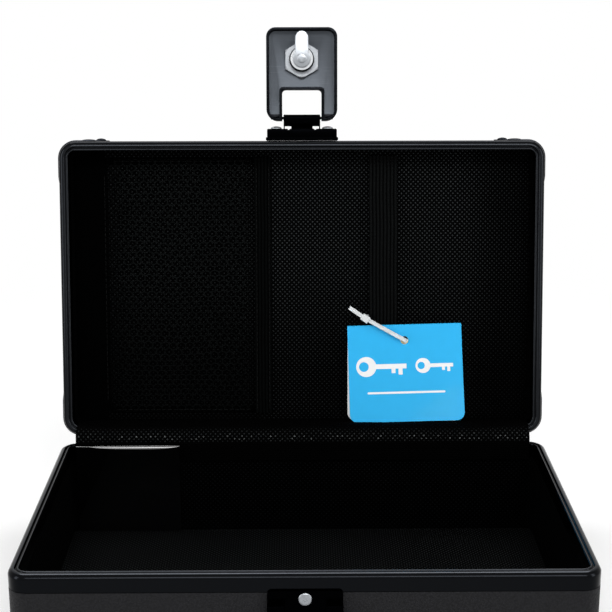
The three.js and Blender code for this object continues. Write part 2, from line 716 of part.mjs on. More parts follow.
/** The hasp's outline, moved in by `inset`: two legs beside a window, over a full-width panel. */
function haspShape(inset) {
  const half = HASP_WIDTH / 2 - inset;
  const window = HASP_WINDOW_WIDTH / 2 + inset;
  const heel = HASP_HEEL - inset;
  const tip = -HASP_LENGTH + inset;
  const sill = -HASP_WINDOW_LENGTH - inset;
  const heelRadius = HASP_HEEL_RADIUS - inset;
  const tipRadius = HASP_TIP_RADIUS - inset;
  return shapeOf([
    ...arcPoints([-half + tipRadius, tip + tipRadius], tipRadius, 180, 270),
    ...arcPoints([half - tipRadius, tip + tipRadius], tipRadius, 270, 360),
    ...arcPoints([half - heelRadius, heel - heelRadius], heelRadius, 0, 90),
    [window, heel],
    [window, sill],
    [-window, sill],
    [-window, heel],
    ...arcPoints([-half + heelRadius, heel - heelRadius], heelRadius, 90, 180),
  ]);
}

function hasp() {
  const tip = -HASP_LENGTH;
  const lip = shapeOf([
    [-PANEL_OUTER, tip + HASP_LIP * 2],
    [-PANEL_OUTER - HASP_LIP, tip + HASP_LIP / 4],
    [-PANEL_OUTER - HASP_LIP, tip],
    [-HASP_PANEL_OUT - HASP_SHEET / 2, tip],
    [-HASP_PANEL_OUT - HASP_SHEET / 2, tip + HASP_LIP * 2],
  ]);
  return cut(
    join(
      extrude(haspShape(0), 'y', [-PANEL_OUTER, HASP_FLANGE_IN]),
      extrude(lip, 'x', about(0, HASP_LIP_WIDTH)),
    ),
    extrude(haspShape(HASP_SHEET), 'y', [-HASP_PANEL_OUT, HASP_FLANGE_IN + CUT_OVER]),
    rod('x', [-HASP_WIDTH, HASP_WIDTH], [0, 0], HASP_PIN_RADIUS + PIN_PLAY),
    rod('y', [-PANEL_OUTER - CUT_OVER, 0], LOCK_AXIS, BARREL_RADIUS + BARREL_THREAD_PLAY, ROUND_SIDES),
  );
}

function lockBarrel() {
  const seat = -PANEL_OUTER - SEAT_GAP;
  const bore = [LOCK_FACE - CUT_OVER, BARREL_REACH + CUT_OVER];
  return cut(
    join(
      rod('y', [LOCK_FACE, seat], LOCK_AXIS, BARREL_HEAD_RADIUS, ROUND_SIDES),
      rod('y', [seat - BARREL_HEAD / 2, BARREL_REACH], LOCK_AXIS, BARREL_RADIUS, ROUND_SIDES),
    ),
    rod('y', bore, LOCK_AXIS, PLUG_RADIUS + PLUG_PLAY, ROUND_SIDES),
  );
}

function lockNut() {
  const near = -HASP_PANEL_OUT + SEAT_GAP;
  const far = near + NUT_THICKNESS;
  const circumradius = NUT_ACROSS_FLATS / Math.sqrt(3);
  return cut(
    rod('y', [near, far], LOCK_AXIS, circumradius, 6),
    rod('y', [near - CUT_OVER, far + CUT_OVER], LOCK_AXIS, BARREL_RADIUS + BARREL_THREAD_PLAY, ROUND_SIDES),
  );
}

function lockPlug() {
  const end = BARREL_REACH + PLUG_END;
  const keyway = [LOCK_FACE - CUT_OVER, LOCK_FACE + KEYWAY_DEPTH];
  return cut(
    rod('y', [LOCK_FACE, end], LOCK_AXIS, PLUG_RADIUS, ROUND_SIDES),
    block(about(0, KEYWAY_WIDTH), keyway, about(-LOCK_DROP, KEYWAY_LENGTH)),
    rod('y', [end - CAM_SCREW_BITE, end + CUT_OVER], LOCK_AXIS, CAM_SCREW_RADIUS + SEAT_GAP),
  );
}

function lockCam() {
  const half = CAM_WIDTH / 2;
  const [near, far] = [CAM_NEAR, CAM_NEAR + CAM_THICKNESS];
  const arm = roundedRectangle([-half, half], [-LOCK_DROP - CAM_LENGTH, -LOCK_DROP], half - SHARP, SHARP);
  return cut(
    join(extrude(arm, 'y', [near, far]), rod('y', [near, far], LOCK_AXIS, CAM_HUB_RADIUS, ROUND_SIDES)),
    rod('y', [near - CUT_OVER, far + CUT_OVER], LOCK_AXIS, CAM_SCREW_RADIUS + SEAT_GAP),
  );
}

function camScrew() {
  const seat = CAM_NEAR + CAM_THICKNESS + SEAT_GAP;
  const end = BARREL_REACH + PLUG_END - CAM_SCREW_BITE + SEAT_GAP;
  return join(
    rod('y', [seat, seat + CAM_SCREW_HEAD], LOCK_AXIS, CAM_SCREW_HEAD_RADIUS),
    rod('y', [end, seat + CAM_SCREW_HEAD / 2], LOCK_AXIS, CAM_SCREW_RADIUS),
  );
}

// Strike plate

const STRIKE_RIVETS = [
  ['upper', LOCK_Z + STRIKE_RIVET_SPACING / 2],
  ['lower', LOCK_Z - STRIKE_RIVET_SPACING / 2],
];

/** A plate with two bent tabs that the turned cam goes behind. */
function strikePlate() {
  const wallInner = CAM_LENGTH + STRIKE_WALL_GAP;
  const wallOuter = wallInner + STRIKE_SHEET;
  const plateFace = SEAT_GAP + STRIKE_SHEET;
  const tabTop = STRIKE_TAB_OUT + STRIKE_TAB;
  const plate = extrude(
    roundedRectangle([-wallOuter, wallOuter], about(LOCK_Z, STRIKE_HEIGHT), STRIKE_RADIUS),
    'y', [outY(SEAT_GAP), outY(plateFace)],
  );
  const span = about(LOCK_Z, STRIKE_TAB_HEIGHT);
  const lipEnd = wallOuter - STRIKE_TAB_REACH;
  const tabs = [-1, 1].flatMap((side) => [
    block([side * wallInner, side * wallOuter], [outY(plateFace / 2), outY(tabTop)], span),
    block([side * lipEnd, side * wallOuter], [outY(STRIKE_TAB_OUT), outY(tabTop)], span),
  ]);
  const drill = STRIKE_RIVETS.map(([, z]) =>
    rod('y', [outY(0), outY(plateFace + CUT_OVER)], [0, z], RIVET_SHANK_RADIUS + SEAT_GAP));
  return cut(join(plate, ...tabs), ...drill);
}

function strikeRivet(z) {
  const face = SEAT_GAP * 2 + STRIKE_SHEET;
  return rivet(RIVET_HEAD_RADIUS, STRIKE_RIVET_HEAD, RIVET_SHANK_RADIUS, face + RIVET_BITE)
    .rotateX(Math.PI / 2)
    .translate(0, outY(face), z);
}

function strikeHoles() {
  return STRIKE_RIVETS.map(([, z]) =>
    rod('y', [outY(CUT_OVER), outY(-RIVET_BITE - SEAT_GAP)], [0, z], RIVET_SHANK_RADIUS + SEAT_GAP));
}

// Inside the lid: x to the right, y up the open lid, z out of its mouth, from the centre of its rim plane

const FLOOR_Z = -LID_FLOOR_DEPTH + SEAT_GAP;

function meshPocket() {
  const [left, right] = [NET_LEFT, NET_LEFT + NET_WIDTH];
  const half = NET_HEIGHT / 2;
  const [back, front] = [FLOOR_Z, FLOOR_Z + NET_THICKNESS];
  const pitchX = (NET_WIDTH - 2 * NET_HEM + NET_STRAND) / NET_COLUMNS;
  const pitchY = (NET_HEIGHT - 2 * NET_HEM + NET_STRAND) / NET_ROWS;
  const through = [back - CUT_OVER, front + CUT_OVER];
  const gaps = [];
  for (let column = 0; column < NET_COLUMNS; column++) {
    for (let row = 0; row < NET_ROWS; row++) {
      const x = left + NET_HEM + column * pitchX;
      const y = -half + NET_HEM + row * pitchY;
      gaps.push(block([x, x + pitchX - NET_STRAND], [y, y + pitchY - NET_STRAND], through));
    }
  }
  const outline = roundedRectangle([left, right], [-half, half], NET_RADIUS);
  return cut(extrude(outline, 'z', [back, front]), ...gaps);
}

function pocketBinding() {
  const left = NET_LEFT + NET_WIDTH + SEAT_GAP;
  const [back, front] = [FLOOR_Z, FLOOR_Z + BINDING_THICKNESS];
  const shape = roundedRectangle([left, left + BINDING_WIDTH], [back, front], BINDING_EDGE);
  return extrude(shape, 'y', about(0, NET_HEIGHT), ROUND_STEPS);
}

/** How far the bowed strap's back stands off the lid's floor at a height. */
const strapRise = (y) => STRAP_RISE * (1 - (2 * y / STRAP_LENGTH) ** 2);

function elasticStrap() {
  const route = [];
  for (let i = 0; i <= STRAP_STEPS; i++) {
    const y = -STRAP_LENGTH / 2 + (STRAP_LENGTH * i) / STRAP_STEPS;
    route.push([y, FLOOR_Z + STRAP_THICKNESS / 2 + strapRise(y)]);
  }
  const band = bandShape(route, STRAP_THICKNESS);
  return extrude(band, 'x', about(STRAP_X, STRAP_WIDTH));
}

/** The tag's frame: x right, y up the tag from its lower edge, z out of its face, at the tag's middle. */
function placeTag(object) {
  const wall = BOX_DEPTH / 2 - RIM_WIDTH - SEAT_GAP - COVER_THICKNESS;
  object.position.set(TAG_X, -wall + SEAT_GAP + TAG_THICKNESS / 4, -TAG_FOOT_DEPTH);
  object.rotation.x = -THREE.MathUtils.degToRad(TAG_LEAN);
  return object;
}

const TAG_HOLE = [TAG_HOLE_FROM_LEFT - TAG_WIDTH / 2, TAG_HEIGHT - TAG_HOLE_FROM_TOP];

function keyTag() {
  const half = TAG_WIDTH / 2;
  const shape = roundedRectangle([-half, half], [0, TAG_HEIGHT], TAG_RADIUS, TAG_FOLD_RADIUS);
  shape.holes.push(circlePath(TAG_HOLE, TAG_HOLE_RADIUS));
  return extrude(shape, 'z', about(0, TAG_THICKNESS));
}

const KEY_LAYERS = [1, 2].map((layer) => -TAG_THICKNESS / 2 - layer * (KEY_THICKNESS + KEY_STACK_GAP));

/** A flat key hung by its bow: the origin is the middle of its hole, and the blade points down. */
function flatKey() {
  const centre = -(KEY_BOW_RADIUS - KEY_HOLE_RADIUS - KEY_HOLE_EDGE);
  const half = KEY_BLADE_WIDTH / 2;
  const neck = THREE.MathUtils.radToDeg(Math.asin(half / KEY_BOW_RADIUS));
  const shoulder = centre - KEY_BOW_RADIUS * Math.cos(THREE.MathUtils.degToRad(neck));
  const tip = shoulder - KEY_BLADE_LENGTH;
  const bow = arcPoints([0, centre], KEY_BOW_RADIUS, -90 + neck, 270 - neck, BOW_STEPS);
  const pitch = (KEY_BLADE_LENGTH - half) / (KEY_CUT_DEPTHS.length + 1);
  const cuts = KEY_CUT_DEPTHS.flatMap((depth, i) => {
    const [mouthTop, mouthEnd] = about(shoulder - pitch * (i + 1), -KEY_CUT_WIDTH);
    const [rootTop, rootEnd] = about(shoulder - pitch * (i + 1), -KEY_CUT_ROOT);
    return [[-half, mouthTop], [-half + depth, rootTop], [-half + depth, rootEnd], [-half, mouthEnd]];
  });
  const outline = shapeOf([...bow, ...cuts, [-half, tip + half], [0, tip], [half, tip + half]]);
  outline.holes.push(circlePath([0, 0], KEY_HOLE_RADIUS));
  return extrude(outline, 'z', [0, KEY_THICKNESS]);
}

/** The tie's loop: from its head across the strap, through the tag, and back behind the strap. */
function tagTie() {
  const tagFrame = placeTag(new THREE.Object3D());
  tagFrame.updateMatrix();
  const inTag = (z) => new THREE.Vector3(TAG_HOLE[0], TAG_HOLE[1], z).applyMatrix4(tagFrame.matrix);
  const front = inTag(TAG_THICKNESS / 2 + TIE_RADIUS + TIE_CLEARANCE);
  const keysBack = inTag(KEY_LAYERS[1] - TIE_RADIUS - SEAT_GAP);
  const strapLeft = STRAP_X - STRAP_WIDTH / 2 - TIE_RADIUS - SEAT_GAP;
  const headY = front.y + TIE_HEAD_RISE;
  const behind = FLOOR_Z + (strapRise(headY) - SEAT_GAP) / 2;
  const head = new THREE.Vector3(strapLeft - TIE_HEAD / 4, headY, front.z);
  const route = [
    head,
    new THREE.Vector3(STRAP_X, (headY + front.y) / 2 + TIE_RADIUS, front.z + TIE_RADIUS / 2),
    front,
    inTag(0),
    keysBack,
    new THREE.Vector3(STRAP_X + STRAP_WIDTH / 2, keysBack.y + TIE_HEAD, behind),
    new THREE.Vector3(STRAP_X, headY - TIE_HEAD / 2, behind),
    new THREE.Vector3(strapLeft, headY, behind),
    new THREE.Vector3(head.x - TIE_RADIUS, headY, (behind + head.z) / 2),
    head,
  ];
  const ring = new THREE.Shape();
  ring.absarc(0, 0, TIE_RADIUS, 0, Math.PI * 2);
  const along = (points, steps) => new THREE.ExtrudeGeometry(ring, {
    steps,
    curveSegments: TIE_SIDES_PER_CURVE,
    extrudePath: new THREE.CatmullRomCurve3(points, false, 'centripetal'),
  });
  const tail = new THREE.Vector3(-TIE_TAIL * Math.SQRT1_2, TIE_TAIL * Math.SQRT1_2 * 0.7, TIE_RADIUS);
  const tailPoints = [0, 1 / 2, 1].map((share) => head.clone().addScaledVector(tail, share));
  const headBlock = block(about(0, TIE_HEAD), about(0, TIE_HEAD), about(0, TIE_HEAD_THICKNESS))
    .rotateZ(-THREE.MathUtils.degToRad(TIE_HEAD_TURN))
    .translate(...head.toArray());
  return join(headBlock, along(route, TIE_STEPS), along(tailPoints, TIE_TAIL_STEPS));
}

// Folded card in the base

function baseCard() {
  const left = -BOX_WIDTH / 2 + INNER_INSET + CARD_LEFT_GAP;
  const rear = REAR_Y - RIM_WIDTH - SEAT_GAP - COVER_THICKNESS - CARD_REAR_GAP;
  const bottom = BASE_FLOOR_Z + SEAT_GAP;
  const shape = roundedRectangle([left, left + CARD_WIDTH], [bottom, bottom + CARD_HEIGHT], CARD_RADIUS);
  return extrude(shape, 'y', [rear - CARD_THICKNESS, rear], ROUND_STEPS);
}

// Assembly

function add(group, name, geometry, material) {
  const mesh = new THREE.Mesh(geometry, material);
  mesh.name = name;
  group.add(mesh);
  return mesh;
}

const box = new THREE.Group();

/** The base and everything that stays with it. */
function buildBase() {
  add(box, 'base_shell', shell(BASE, [...hingeHoles(-1), ...strikeHoles()]), FINISHES.board);
  add(box, 'base_rim', rim(BASE, tongue()), FINISHES.rim);
  add(box, 'base_wall_lining', wallLining(BASE), FINISHES.lining);
  add(box, 'base_floor_lining', floorLining(BASE), FINISHES.lining);
  for (const [corner, signX, signY] of CORNERS) {
    add(box, `base_cap_${corner}`, cornerCap(BASE, signX, signY), FINISHES.cap);
  }
  for (const [side, x] of HINGES) {
    add(box, `hinge_base_leaf_${side}`, hingeLeaf(x, -1), FINISHES.steel);
    add(box, `hinge_pin_${side}`, hingePin(x), FINISHES.steel);
    rivetPlaces(x, -1).forEach(([rivetX, z], i) => {
      add(box, `hinge_base_rivet_${side}_${i + 1}`, hingeRivet(rivetX, z), FINISHES.steel);
    });
  }
  add(box, 'hinge_cover', hingeCover(), FINISHES.lining);
  add(box, 'strike_plate', strikePlate(), FINISHES.latch);
  for (const [place, z] of STRIKE_RIVETS) add(box, `strike_rivet_${place}`, strikeRivet(z), FINISHES.steel);
  add(box, 'base_card', baseCard(), FINISHES.card);
}

/** The lid, modelled closed in a group that is then turned open about the hinge pins. */
function buildLid() {
  const turned = new THREE.Group();
  turned.position.set(0, HINGE_Y, BASE_HEIGHT);
  turned.rotation.x = -THREE.MathUtils.degToRad(LID_OPEN_ANGLE);
  const lid = new THREE.Group();
  lid.position.set(0, -HINGE_Y, -BASE_HEIGHT);
  turned.add(lid);
  box.add(turned);

  add(lid, 'lid_shell', shell(LID, [...hingeHoles(1), ...latchHoles()]), FINISHES.board);
  add(lid, 'lid_rim', rim(LID, groove()), FINISHES.rim);
  add(lid, 'lid_wall_lining', wallLining(LID), FINISHES.lining);
  add(lid, 'lid_floor_lining', floorLining(LID), FINISHES.lining);
  for (const [corner, signX, signY] of CORNERS) {
    add(lid, `lid_cap_${corner}`, cornerCap(LID, signX, signY), FINISHES.cap);
  }
  for (const [side, x] of HINGES) {
    add(lid, `hinge_lid_leaf_${side}`, hingeLeaf(x, 1), FINISHES.steel);
    rivetPlaces(x, 1).forEach(([rivetX, z], i) => {
      add(lid, `hinge_lid_rivet_${side}_${i + 1}`, hingeRivet(rivetX, z), FINISHES.steel);
    });
  }
  add(lid, 'latch_plate', latchPlate(), FINISHES.latch);
  add(lid, 'latch_knuckle', latchKnuckle(), FINISHES.latch);
  for (const [side, x] of LATCH_RIVETS) add(lid, `latch_rivet_${side}`, latchRivet(x), FINISHES.steel);
  add(lid, 'hasp_pin', haspPin(), FINISHES.steel);
  buildLidContents(lid);
  buildHasp(lid);
}

/** What the lid holds: the pocket, the strap, and the tag with its tie and keys. */
function buildLidContents(lid) {
  const inside = new THREE.Group();
  inside.position.z = LID_RIM_Z;
  inside.rotation.x = Math.PI;
  lid.add(inside);
  add(inside, 'mesh_pocket', meshPocket(), FINISHES.net);
  add(inside, 'pocket_binding', pocketBinding(), FINISHES.elastic);
  add(inside, 'elastic_strap', elasticStrap(), FINISHES.elastic);
  const tagFrame = placeTag(new THREE.Group());
  inside.add(tagFrame);
  add(tagFrame, 'key_tag', keyTag(), FINISHES.tag);
  ['key_main', 'key_spare'].forEach((name, i) => {
    const key = add(tagFrame, name, flatKey(), FINISHES.brass);
    key.position.set(TAG_HOLE[0], TAG_HOLE[1], KEY_LAYERS[i]);
    key.rotation.z = THREE.MathUtils.degToRad(KEY_TURN + (i === 0 ? KEY_SPREAD : -KEY_SPREAD));
  });
  add(inside, 'tag_tie', tagTie(), FINISHES.nylon);
}

/** The hasp and its lock, modelled hanging closed in a group that is then turned out about the hasp pin. */
function buildHasp(lid) {
  const flap = new THREE.Group();
  flap.position.set(0, outY(PIVOT_OUT), LATCH_Z);
  flap.rotation.x = -THREE.MathUtils.degToRad(HASP_OPEN_ANGLE);
  lid.add(flap);
  add(flap, 'hasp', hasp(), FINISHES.latch);
  add(flap, 'lock_barrel', lockBarrel(), FINISHES.chrome);
  add(flap, 'lock_nut', lockNut(), FINISHES.steel);
  add(flap, 'lock_plug', lockPlug(), FINISHES.chrome);
  add(flap, 'lock_cam', lockCam(), FINISHES.steel);
  add(flap, 'cam_screw', camScrew(), FINISHES.steel);
}

buildBase();
buildLid();

export default box;
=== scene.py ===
"""The looks of a locking pencil box, built round its fixed frame of bodies and joints.

The lid stands open, and the hasp stands out from it. Shapes are made in millimetres, in the frame of the
sub-assembly that they belong to: the base as it stands, the lid as it is when closed, the inside of the lid
seen through its mouth, and the hasp as it hangs when closed. Each shape is then put in its place in metres.
"""

import json
import logging
import math
from abc import ABC, abstractmethod
from contextlib import contextmanager
from dataclasses import dataclass, field, replace
from enum import Enum
from functools import reduce
from itertools import accumulate, product
from typing import Callable, Iterable, Iterator, Sequence

import bmesh
import bpy
from mathutils import Matrix, Vector, noise
from mathutils.geometry import interpolate_bezier


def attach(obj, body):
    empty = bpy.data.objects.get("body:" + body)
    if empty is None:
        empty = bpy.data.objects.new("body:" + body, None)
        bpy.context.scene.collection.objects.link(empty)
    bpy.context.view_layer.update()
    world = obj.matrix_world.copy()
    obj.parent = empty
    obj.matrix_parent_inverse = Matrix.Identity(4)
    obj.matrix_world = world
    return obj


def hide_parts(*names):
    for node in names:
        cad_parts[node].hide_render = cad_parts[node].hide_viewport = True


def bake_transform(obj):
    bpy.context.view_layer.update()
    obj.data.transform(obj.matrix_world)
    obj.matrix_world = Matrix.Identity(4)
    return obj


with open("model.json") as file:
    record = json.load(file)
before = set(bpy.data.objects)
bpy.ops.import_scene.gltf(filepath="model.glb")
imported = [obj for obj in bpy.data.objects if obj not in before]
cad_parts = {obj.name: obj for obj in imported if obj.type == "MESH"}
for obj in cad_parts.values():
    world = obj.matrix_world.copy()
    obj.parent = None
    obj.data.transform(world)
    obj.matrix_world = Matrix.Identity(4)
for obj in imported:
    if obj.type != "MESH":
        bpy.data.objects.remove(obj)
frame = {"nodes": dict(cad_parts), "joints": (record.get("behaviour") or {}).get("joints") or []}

LOG = logging.getLogger("pencil_box")
MM = 0.001
CLOTH = "cloth"
GAP = 0.3
TIP = 0.02
WALL_RIVET = 2.4
DIMPLE = 0.6
WHITE = (1.0, 1.0, 1.0)

Pair = tuple[float, float]
Triple = tuple[float, float, float]
Colour = Triple


class Axis(Enum):
    """The axis that an outline is pushed along."""

    X = 0
    Y = 1
    Z = 2


class Join(Enum):
    """How solids are combined."""

    ADD = "UNION"
    CUT = "DIFFERENCE"
    COMMON = "INTERSECT"


def span(first: float, second: float) -> Pair:
    """Two values, the lower one first."""
    return min(first, second), max(first, second)


def scaled(colour: Colour, share: float) -> Colour:
    """A colour made darker or paler, up to 1."""
    return tuple(min(value * share, 1.0) for value in colour)


def turn(degrees: float, axis: str) -> Matrix:
    """A turn about one of the axes."""
    return Matrix.Rotation(math.radians(degrees), 4, axis)


def about(x: float, y: float, degrees: float) -> Matrix:
    """A turn about a line along Z through a point."""
    place = Matrix.Translation((x, y, 0))
    return place @ turn(degrees, "Z") @ place.inverted()


def even(low: float, high: float, steps: int) -> list[float]:
    """Even steps from one value to another, with both of them."""
    return [low + (high - low) * i / steps for i in range(steps + 1)]


def ripple(x: float, y: float, z: float) -> float:
    """Smooth noise at a point, from -1 to 1."""
    return noise.noise(Vector((x, y, z)))


def arc(centre: Pair, radius: float | Pair, start: float, end: float, steps: int = 6) -> list[Pair]:
    """Points of an arc.

    Args:
        centre: Its middle.
        radius: Its radius, or its reach along each axis.
        start: The first angle, in degrees.
        end: The last angle, in degrees.
        steps: How many chords it has.

    Returns:
        The points, from the first angle to the last.
    """
    wide, tall = radius if isinstance(radius, tuple) else (radius, radius)
    angles = [math.radians(angle) for angle in even(start, end, steps)]
    return [(centre[0] + wide * math.cos(a), centre[1] + tall * math.sin(a)) for a in angles]


def circle(radius: float, steps: int) -> list[Pair]:
    """Points of a circle round the origin."""
    turns = [2 * math.pi * i / steps for i in range(steps)]
    return [(radius * math.cos(a), radius * math.sin(a)) for a in turns]


def rounded(
    a: Pair, b: Pair, low_radius: float, high_radius: float | None = None, steps: int = 6,
) -> list[Pair]:
    """The outline of a rectangle with rounded corners.

    Args:
        a: Its ends along the first axis.
        b: Its ends along the second axis.
        low_radius: The radius of the corners at the low end of the second axis.
        high_radius: The radius of the other two corners, or None for the same.
        steps: How many chords a corner has.

    Returns:
        The outline, anticlockwise.
    """
    low, high = low_radius, low_radius if high_radius is None else high_radius
    return [
        *arc((a[1] - low, b[0] + low), low, -90, 0, steps),
        *arc((a[1] - high, b[1] - high), high, 0, 90, steps),
        *arc((a[0] + high, b[1] - high), high, 90, 180, steps),
        *arc((a[0] + low, b[0] + low), low, 180, 270, steps),
    ]


def ways(path: Sequence[Vector]) -> list[Vector]:
    """The direction of a path at each of its points."""
    return [(after - before).normalized() for before, after in zip([path[0], *path], [*path[1:], path[-1]])]


def lengths(points: Sequence[Vector]) -> list[float]:
    """How far along a path each of its points is."""
    return list(accumulate(((after - point).length for point, after in zip(points, points[1:])), initial=0.0))


@contextmanager
def edited(mesh: bpy.types.Mesh) -> Iterator[bmesh.types.BMesh]:
    """Opens a mesh for editing, and writes it back afterwards.

    Args:
        mesh: The mesh.

    Yields:
        Its editable form.
    """
    edit = bmesh.new()
    edit.from_mesh(mesh)
    yield edit
    edit.to_mesh(mesh)
    edit.free()


@dataclass
class Shape:
    """A closed mesh in millimetres, with flat cloth coordinates for its faces where they are known."""

    points: list[Vector] = field(default_factory=list)
    faces: list[tuple[int, ...]] = field(default_factory=list)
    cloth: list[tuple[Pair, ...] | None] = field(default_factory=list)

    def __add__(self, other: "Shape") -> "Shape":
        """Both shapes side by side in one mesh."""
        faces = [tuple(i + len(self.points) for i in face) for face in other.faces]
        return Shape(self.points + other.points, self.faces + faces, self.cloth + other.cloth)

    @staticmethod
    def all_of(shapes: Iterable["Shape"]) -> "Shape":
        """Several shapes side by side in one mesh."""
        return reduce(Shape.__add__, shapes, Shape())

    @staticmethod
    def rings(rings: Sequence[Sequence[Vector]], wrap: bool = False) -> "Shape":
        """A skin over a row of closed rings with as many points each.

        Args:
            rings: The rings, in order.
            wrap: Whether the last ring joins the first. If not, both are filled.

        Returns:
            The skin, with the length round a ring and the length from ring to ring as its cloth coordinates.
        """
        count = len(rings[0])
        widest = max(rings, key=lambda ring: sum((ring[i] - ring[i - 1]).length for i in range(count)))
        across = lengths([*widest, widest[0]])
        along = lengths([ring[0] for ring in (*rings, rings[0])])
        made = Shape([point for ring in rings for point in ring])
        for i in range(len(rings) if wrap else len(rings) - 1):
            near, far = i * count, ((i + 1) % len(rings)) * count
            low, high = along[i], along[i + 1]
            for j in range(count):
                k = (j + 1) % count
                left, right = across[j], across[j + 1]
                made.faces.append((near + j, near + k, far + k, far + j))
                made.cloth.append(((left, low), (right, low), (right, high), (left, high)))
        if not wrap:
            last = len(made.points) - count
            for face in (tuple(reversed(range(count))), tuple(range(last, last + count))):
                made.faces.append(face)
                made.cloth.append(tuple((made.points[i].x, made.points[i].y) for i in face))
        return made

    @staticmethod
    def quilt(near: Sequence[Vector], far: Sequence[Vector], flat: Sequence[Pair], row: int) -> "Shape":
        """A cloth with two faces, closed round its edge.

        Args:
            near: One face's grid of points, row by row.
            far: The other face's grid.
            flat: The cloth coordinates of a grid.
            row: How many points a row has.

        Returns:
            The cloth.
        """
        size = len(near)
        faces = [
            (k, k + 1, k + row + 1, k + row)
            for start in range(0, 2 * size, row) if start not in (size - row, 2 * size - row)
            for k in range(start, start + row - 1)
        ]
        edge = [
            *range(row), *range(2 * row - 1, size, row),
            *range(size - 2, size - row - 1, -1), *range(size - 2 * row, 0, -row),
        ]
        faces += [(first, second, second + size, first + size) for first, second in zip(edge, [*edge[1:], 0])]
        return Shape([*near, *far], faces, [tuple(flat[i % size] for i in face) for face in faces])

    @staticmethod
    def slab(outline: Sequence[Pair], axis: Axis, low: float, high: float) -> "Shape":
        """A flat outline pushed along an axis.

        Args:
            outline: Its points: (y, z) along X, (x, z) along Y, and (x, y) along Z.
            axis: The axis that it is pushed along.
            low: Where it starts.
            high: Where it ends.

        Returns:
            The solid.
        """
        at = axis.value
        return Shape.rings([[Vector((*p[:at], height, *p[at:])) for p in outline] for height in (low, high)])

    @staticmethod
    def block(x: Pair, y: Pair, z: Pair) -> "Shape":
        """A box between two values on each axis."""
        return Shape.slab([(x[0], y[0]), (x[1], y[0]), (x[1], y[1]), (x[0], y[1])], Axis.Z, z[0], z[1])

    @staticmethod
    def turned(profile: Sequence[Pair], steps: int = 40, wrap: bool = False) -> "Shape":
        """A round solid along +Z, from a profile of (radius, height) that may be a closed loop."""
        return Shape.rings([[Vector((*p, h)) for p in circle(max(r, TIP), steps)] for r, h in profile], wrap)

    @staticmethod
    def tube(path: Sequence[Vector], section: Sequence[Pair], side: Vector) -> "Shape":
        """A section carried along a path.

        Args:
            path: The points that the middle of the section follows.
            section: The section: (across, out), where out is square to the path and to across.
            side: The direction that across starts near.

        Returns:
            The solid.
        """
        rings = []
        across = side
        for point, way in zip(path, ways(path)):
            across = (across - way * across.dot(way)).normalized()
            out = way.cross(across)
            rings.append([point + across * a + out * b for a, b in section])
        return Shape.rings(rings)

    def bent(self, bend: Callable[[Vector], Vector]) -> "Shape":
        """The same shape, with each point put through a function."""
        return Shape([bend(point) for point in self.points], self.faces, self.cloth)

    def moved(self, matrix: Matrix) -> "Shape":
        """The same shape, with its points put through a matrix."""
        return self.bent(lambda point: matrix @ point)

    def at(self, place: Sequence[float], degrees: float = 0.0, axis: str = "X") -> "Shape":
        """The same shape, turned about an axis and then moved to a place."""
        return self.moved(Matrix.Translation(place) @ turn(degrees, axis))

    def mesh(self, name: str) -> bpy.types.Mesh:
        """The shape as a Blender mesh in millimetres, with its faces pointing out.

        Args:
            name: The mesh's name.

        Returns:
            The mesh, with the cloth coordinates on its face corners.
        """
        made = bpy.data.meshes.new(name)
        made.from_pydata(self.points, [], self.faces)
        if any(self.cloth):
            layer = made.attributes.new(CLOTH, "FLOAT_VECTOR", "CORNER")
            flat = (known or [(0, 0)] * len(face) for face, known in zip(self.faces, self.cloth))
            layer.data.foreach_set("vector", [value for row in flat for u, v in row for value in (u, v, 0)])
        with edited(made) as edit:
            bmesh.ops.recalc_face_normals(edit, faces=edit.faces)
        return made

    @staticmethod
    def of(mesh: bpy.types.Mesh) -> "Shape":
        """A Blender mesh as a shape, without cloth coordinates. The mesh is removed.

        Args:
            mesh: The mesh.

        Returns:
            The shape.
        """
        points = [vertex.co.copy() for vertex in mesh.vertices]
        faces = [tuple(polygon.vertices) for polygon in mesh.polygons]
        bpy.data.meshes.remove(mesh)
        return Shape(points, faces, [None] * len(faces))

    def mirrored(self, x: int, y: int) -> "Shape":
        """The same shape, mirrored along an axis where its number is -1."""
        return self.moved(Matrix.Diagonal((x, y, 1, 1)))

    def combined(self, join: Join, *others: "Shape") -> "Shape":
        """This solid with others added to it, cut from it or kept in common.

        Args:
            join: How they are combined.
            others: The other solids, taken one after the other.

        Returns:
            The result.
        """
        objects = []
        for shape in (self, *others):
            made = bpy.data.objects.new("solid", shape.mesh("solid"))
            bpy.context.scene.collection.objects.link(made)
            objects.append(made)
        for tool in objects[1:]:
            step = objects[0].modifiers.new("step", "BOOLEAN")
            step.solver = "MANIFOLD"
            step.operation = join.value
            step.object = tool
        bpy.context.view_layer.update()
        shown = objects[0].evaluated_get(bpy.context.evaluated_depsgraph_get())
        result = Shape.of(bpy.data.meshes.new_from_object(shown))
        for made in objects:
            bpy.data.meshes.remove(made.data)
        return result

    def diced(self, step: float) -> "Shape":
        """The same solid with its faces cut along even lines across X and Y, so that it can bend.

        Args:
            step: How far apart the lines are.

        Returns:
            The diced solid.
        """
        mesh = self.mesh("diced")
        with edited(mesh) as edit:
            for axis, way in enumerate((Vector((1, 0, 0)), Vector((0, 1, 0)))):
                low, high = (end(point[axis] for point in self.points) for end in (min, max))
                for i in range(1, int((high - low) / step)):
                    geom = [*edit.verts, *edit.edges, *edit.faces]
                    bmesh.ops.bisect_plane(edit, geom=geom, plane_co=way * (low + i * step), plane_no=way)
        return Shape.of(mesh)

